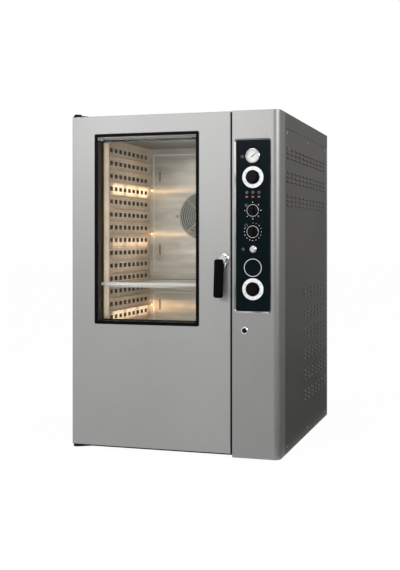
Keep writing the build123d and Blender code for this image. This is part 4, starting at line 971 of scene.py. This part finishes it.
def print_gauge():
    marks = Print(fascia_y - gauge_face)
    for step in range(gauge_ticks):
        angle = gauge_start + gauge_tick_step * step
        inner = gauge_long_inner if step % gauge_long_every == 0 else gauge_short_inner
        marks.tick(control_x, gauge_z, angle, inner, gauge_tick_outer, gauge_tick_width)
    for step in range(gauge_numbers):
        angle = gauge_start + gauge_number_step * step
        x, z = on_circle(control_x, gauge_z, gauge_number_radius, angle)
        marks.number(str(step), x, z, gauge_number_height)
    marks.place("gauge_marks", "needle_black")


# Pressed bead inside the edges of each back baffle. A profile is pairs of
# a share of the width and a share of the height.
bead_width = 9 * mm
bead_proud = 1.6 * mm
bead_inset = 16 * mm
bead_top_inset = 28 * mm
bead_shelf_gap = 20 * mm
bead_profile = ((0, 0), (0.25, 1), (0.75, 1), (1, 0))


def add_baffle_beads():
    low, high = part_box("back_baffles")
    shelf_low, shelf_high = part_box("middle_shelf")
    left, right = low.x + bead_inset, high.x - bead_inset
    for name, floor_z, ceiling_z in (
        ("upper_baffle_bead", shelf_high.z + bead_shelf_gap, high.z),
        ("lower_baffle_bead", low.z, shelf_low.z - bead_shelf_gap),
    ):
        mesh = bmesh.new()
        bottom, top = floor_z + bead_inset, ceiling_z - bead_top_inset
        rings = []
        for across, rise in bead_profile:
            step = across * bead_width
            y = low.y - rise * bead_proud
            corners = (
                (left + step, bottom + step),
                (right - step, bottom + step),
                (right - step, top - step),
                (left + step, top - step),
            )
            rings.append([mesh.verts.new((x, y, z)) for x, z in corners])
        bridge(mesh, rings)
        place_piece(name, mesh, "oven_body", "bead_steel")


# Holes of the perforated walls: counts, pitches, the first hole's insets, sizes and rim
hole_columns = 9
hole_rows = 22
hole_pitch_y = 61.4 * mm
hole_pitch_z = 64 * mm
hole_front_inset = 35 * mm
hole_top_inset = 52 * mm
hole_half_length = 16 * mm
hole_half_height = 7.5 * mm
rim_width = 2.6 * mm
rim_proud = 0.5 * mm
rim_profile = ((1, 0), (0.7, 1), (0.3, 1), (0, 0))
rim_corners = ((-1, -1), (1, -1), (1, 1), (-1, 1))


def add_hole_rims():
    """Pressed rim round every hole of the two perforated walls, in near-black steel as painted shade.
    """
    walls_low, walls_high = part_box("tray_runners")
    ducts_low, ducts_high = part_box("air_ducts")
    for name, wall_x, inward in (
        ("left_hole_shade_rims", walls_low.x, 1),
        ("right_hole_shade_rims", walls_high.x, -1),
    ):
        mesh = bmesh.new()
        for column in range(hole_columns):
            for row in range(hole_rows):
                y = ducts_low.y + hole_front_inset + column * hole_pitch_y
                z = ducts_high.z - hole_top_inset - row * hole_pitch_z
                rings = []
                for across, rise in rim_profile:
                    x = wall_x + inward * rise * rim_proud
                    reach_y = hole_half_length + across * rim_width
                    reach_z = hole_half_height + across * rim_width
                    ring = []
                    for side_y, side_z in rim_corners:
                        ring.append(mesh.verts.new((x, y + side_y * reach_y, z + side_z * reach_z)))
                    rings.append(ring)
                bridge(mesh, rings)
        place_piece(name, mesh, "oven_body", "rim_steel")


# Screws of the rear cover: their rows, the washer and the hexagon head
screw_rows = 8
screw_inset = 14 * mm
screw_bottom = 60 * mm
screw_top = 110 * mm
washer_radius = 7.5 * mm
washer_thickness = 0.9 * mm
washer_shoulder = 0.7 * washer_thickness
washer_bevel = 0.6 * mm
washer_sides = 24
head_radius = 4.6 * mm
head_height = 4.2 * mm
head_shoulder = head_height - 0.6 * mm
head_bevel = 0.7 * mm
head_sides = 6


def add_screw(mesh, x, y, z):
    """Hexagon screw on a washer, as rings of a radius and a height above the face."""
    washer = (
        (washer_radius, 0),
        (washer_radius, washer_shoulder),
        (washer_radius - washer_bevel, washer_thickness),
    )
    head = (
        (head_radius, washer_thickness),
        (head_radius, head_shoulder),
        (head_radius - head_bevel, head_height),
    )
    for sides, profile in ((washer_sides, washer), (head_sides, head)):
        rings = []
        for radius, rise in profile:
            ring = []
            for step in range(sides):
                angle = math.tau * step / sides
                place = (x + radius * math.cos(angle), y + rise, z + radius * math.sin(angle))
                ring.append(mesh.verts.new(place))
            rings.append(ring)
        bridge(mesh, rings)
        mesh.faces.new(rings[-1])
        mesh.faces.new(rings[0][::-1])


def add_cover_screws():
    """Screws up both edges of the rear cover, on the outer plane of its louvre hoods."""
    low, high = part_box("rear_cover")
    pitch = (high.z - screw_top - low.z - screw_bottom) / (screw_rows - 1)
    mesh = bmesh.new()
    for x in (low.x + screw_inset, high.x - screw_inset):
        for row in range(screw_rows):
            add_screw(mesh, x, high.y, low.z + screw_bottom + row * pitch)
    place_piece("cover_screws", mesh, "oven_body", "machined_steel")


add_camera()
add_world()
add_floor()
light_studio()
light_chamber()
dress_frame()
add_baffle_beads()
add_hole_rims()
add_cover_screws()
print_fascia()
print_dial("upper_dial_numbers", upper_dial_z, 50)
print_dial("lower_dial_numbers", lower_dial_z, 20)
print_gauge()
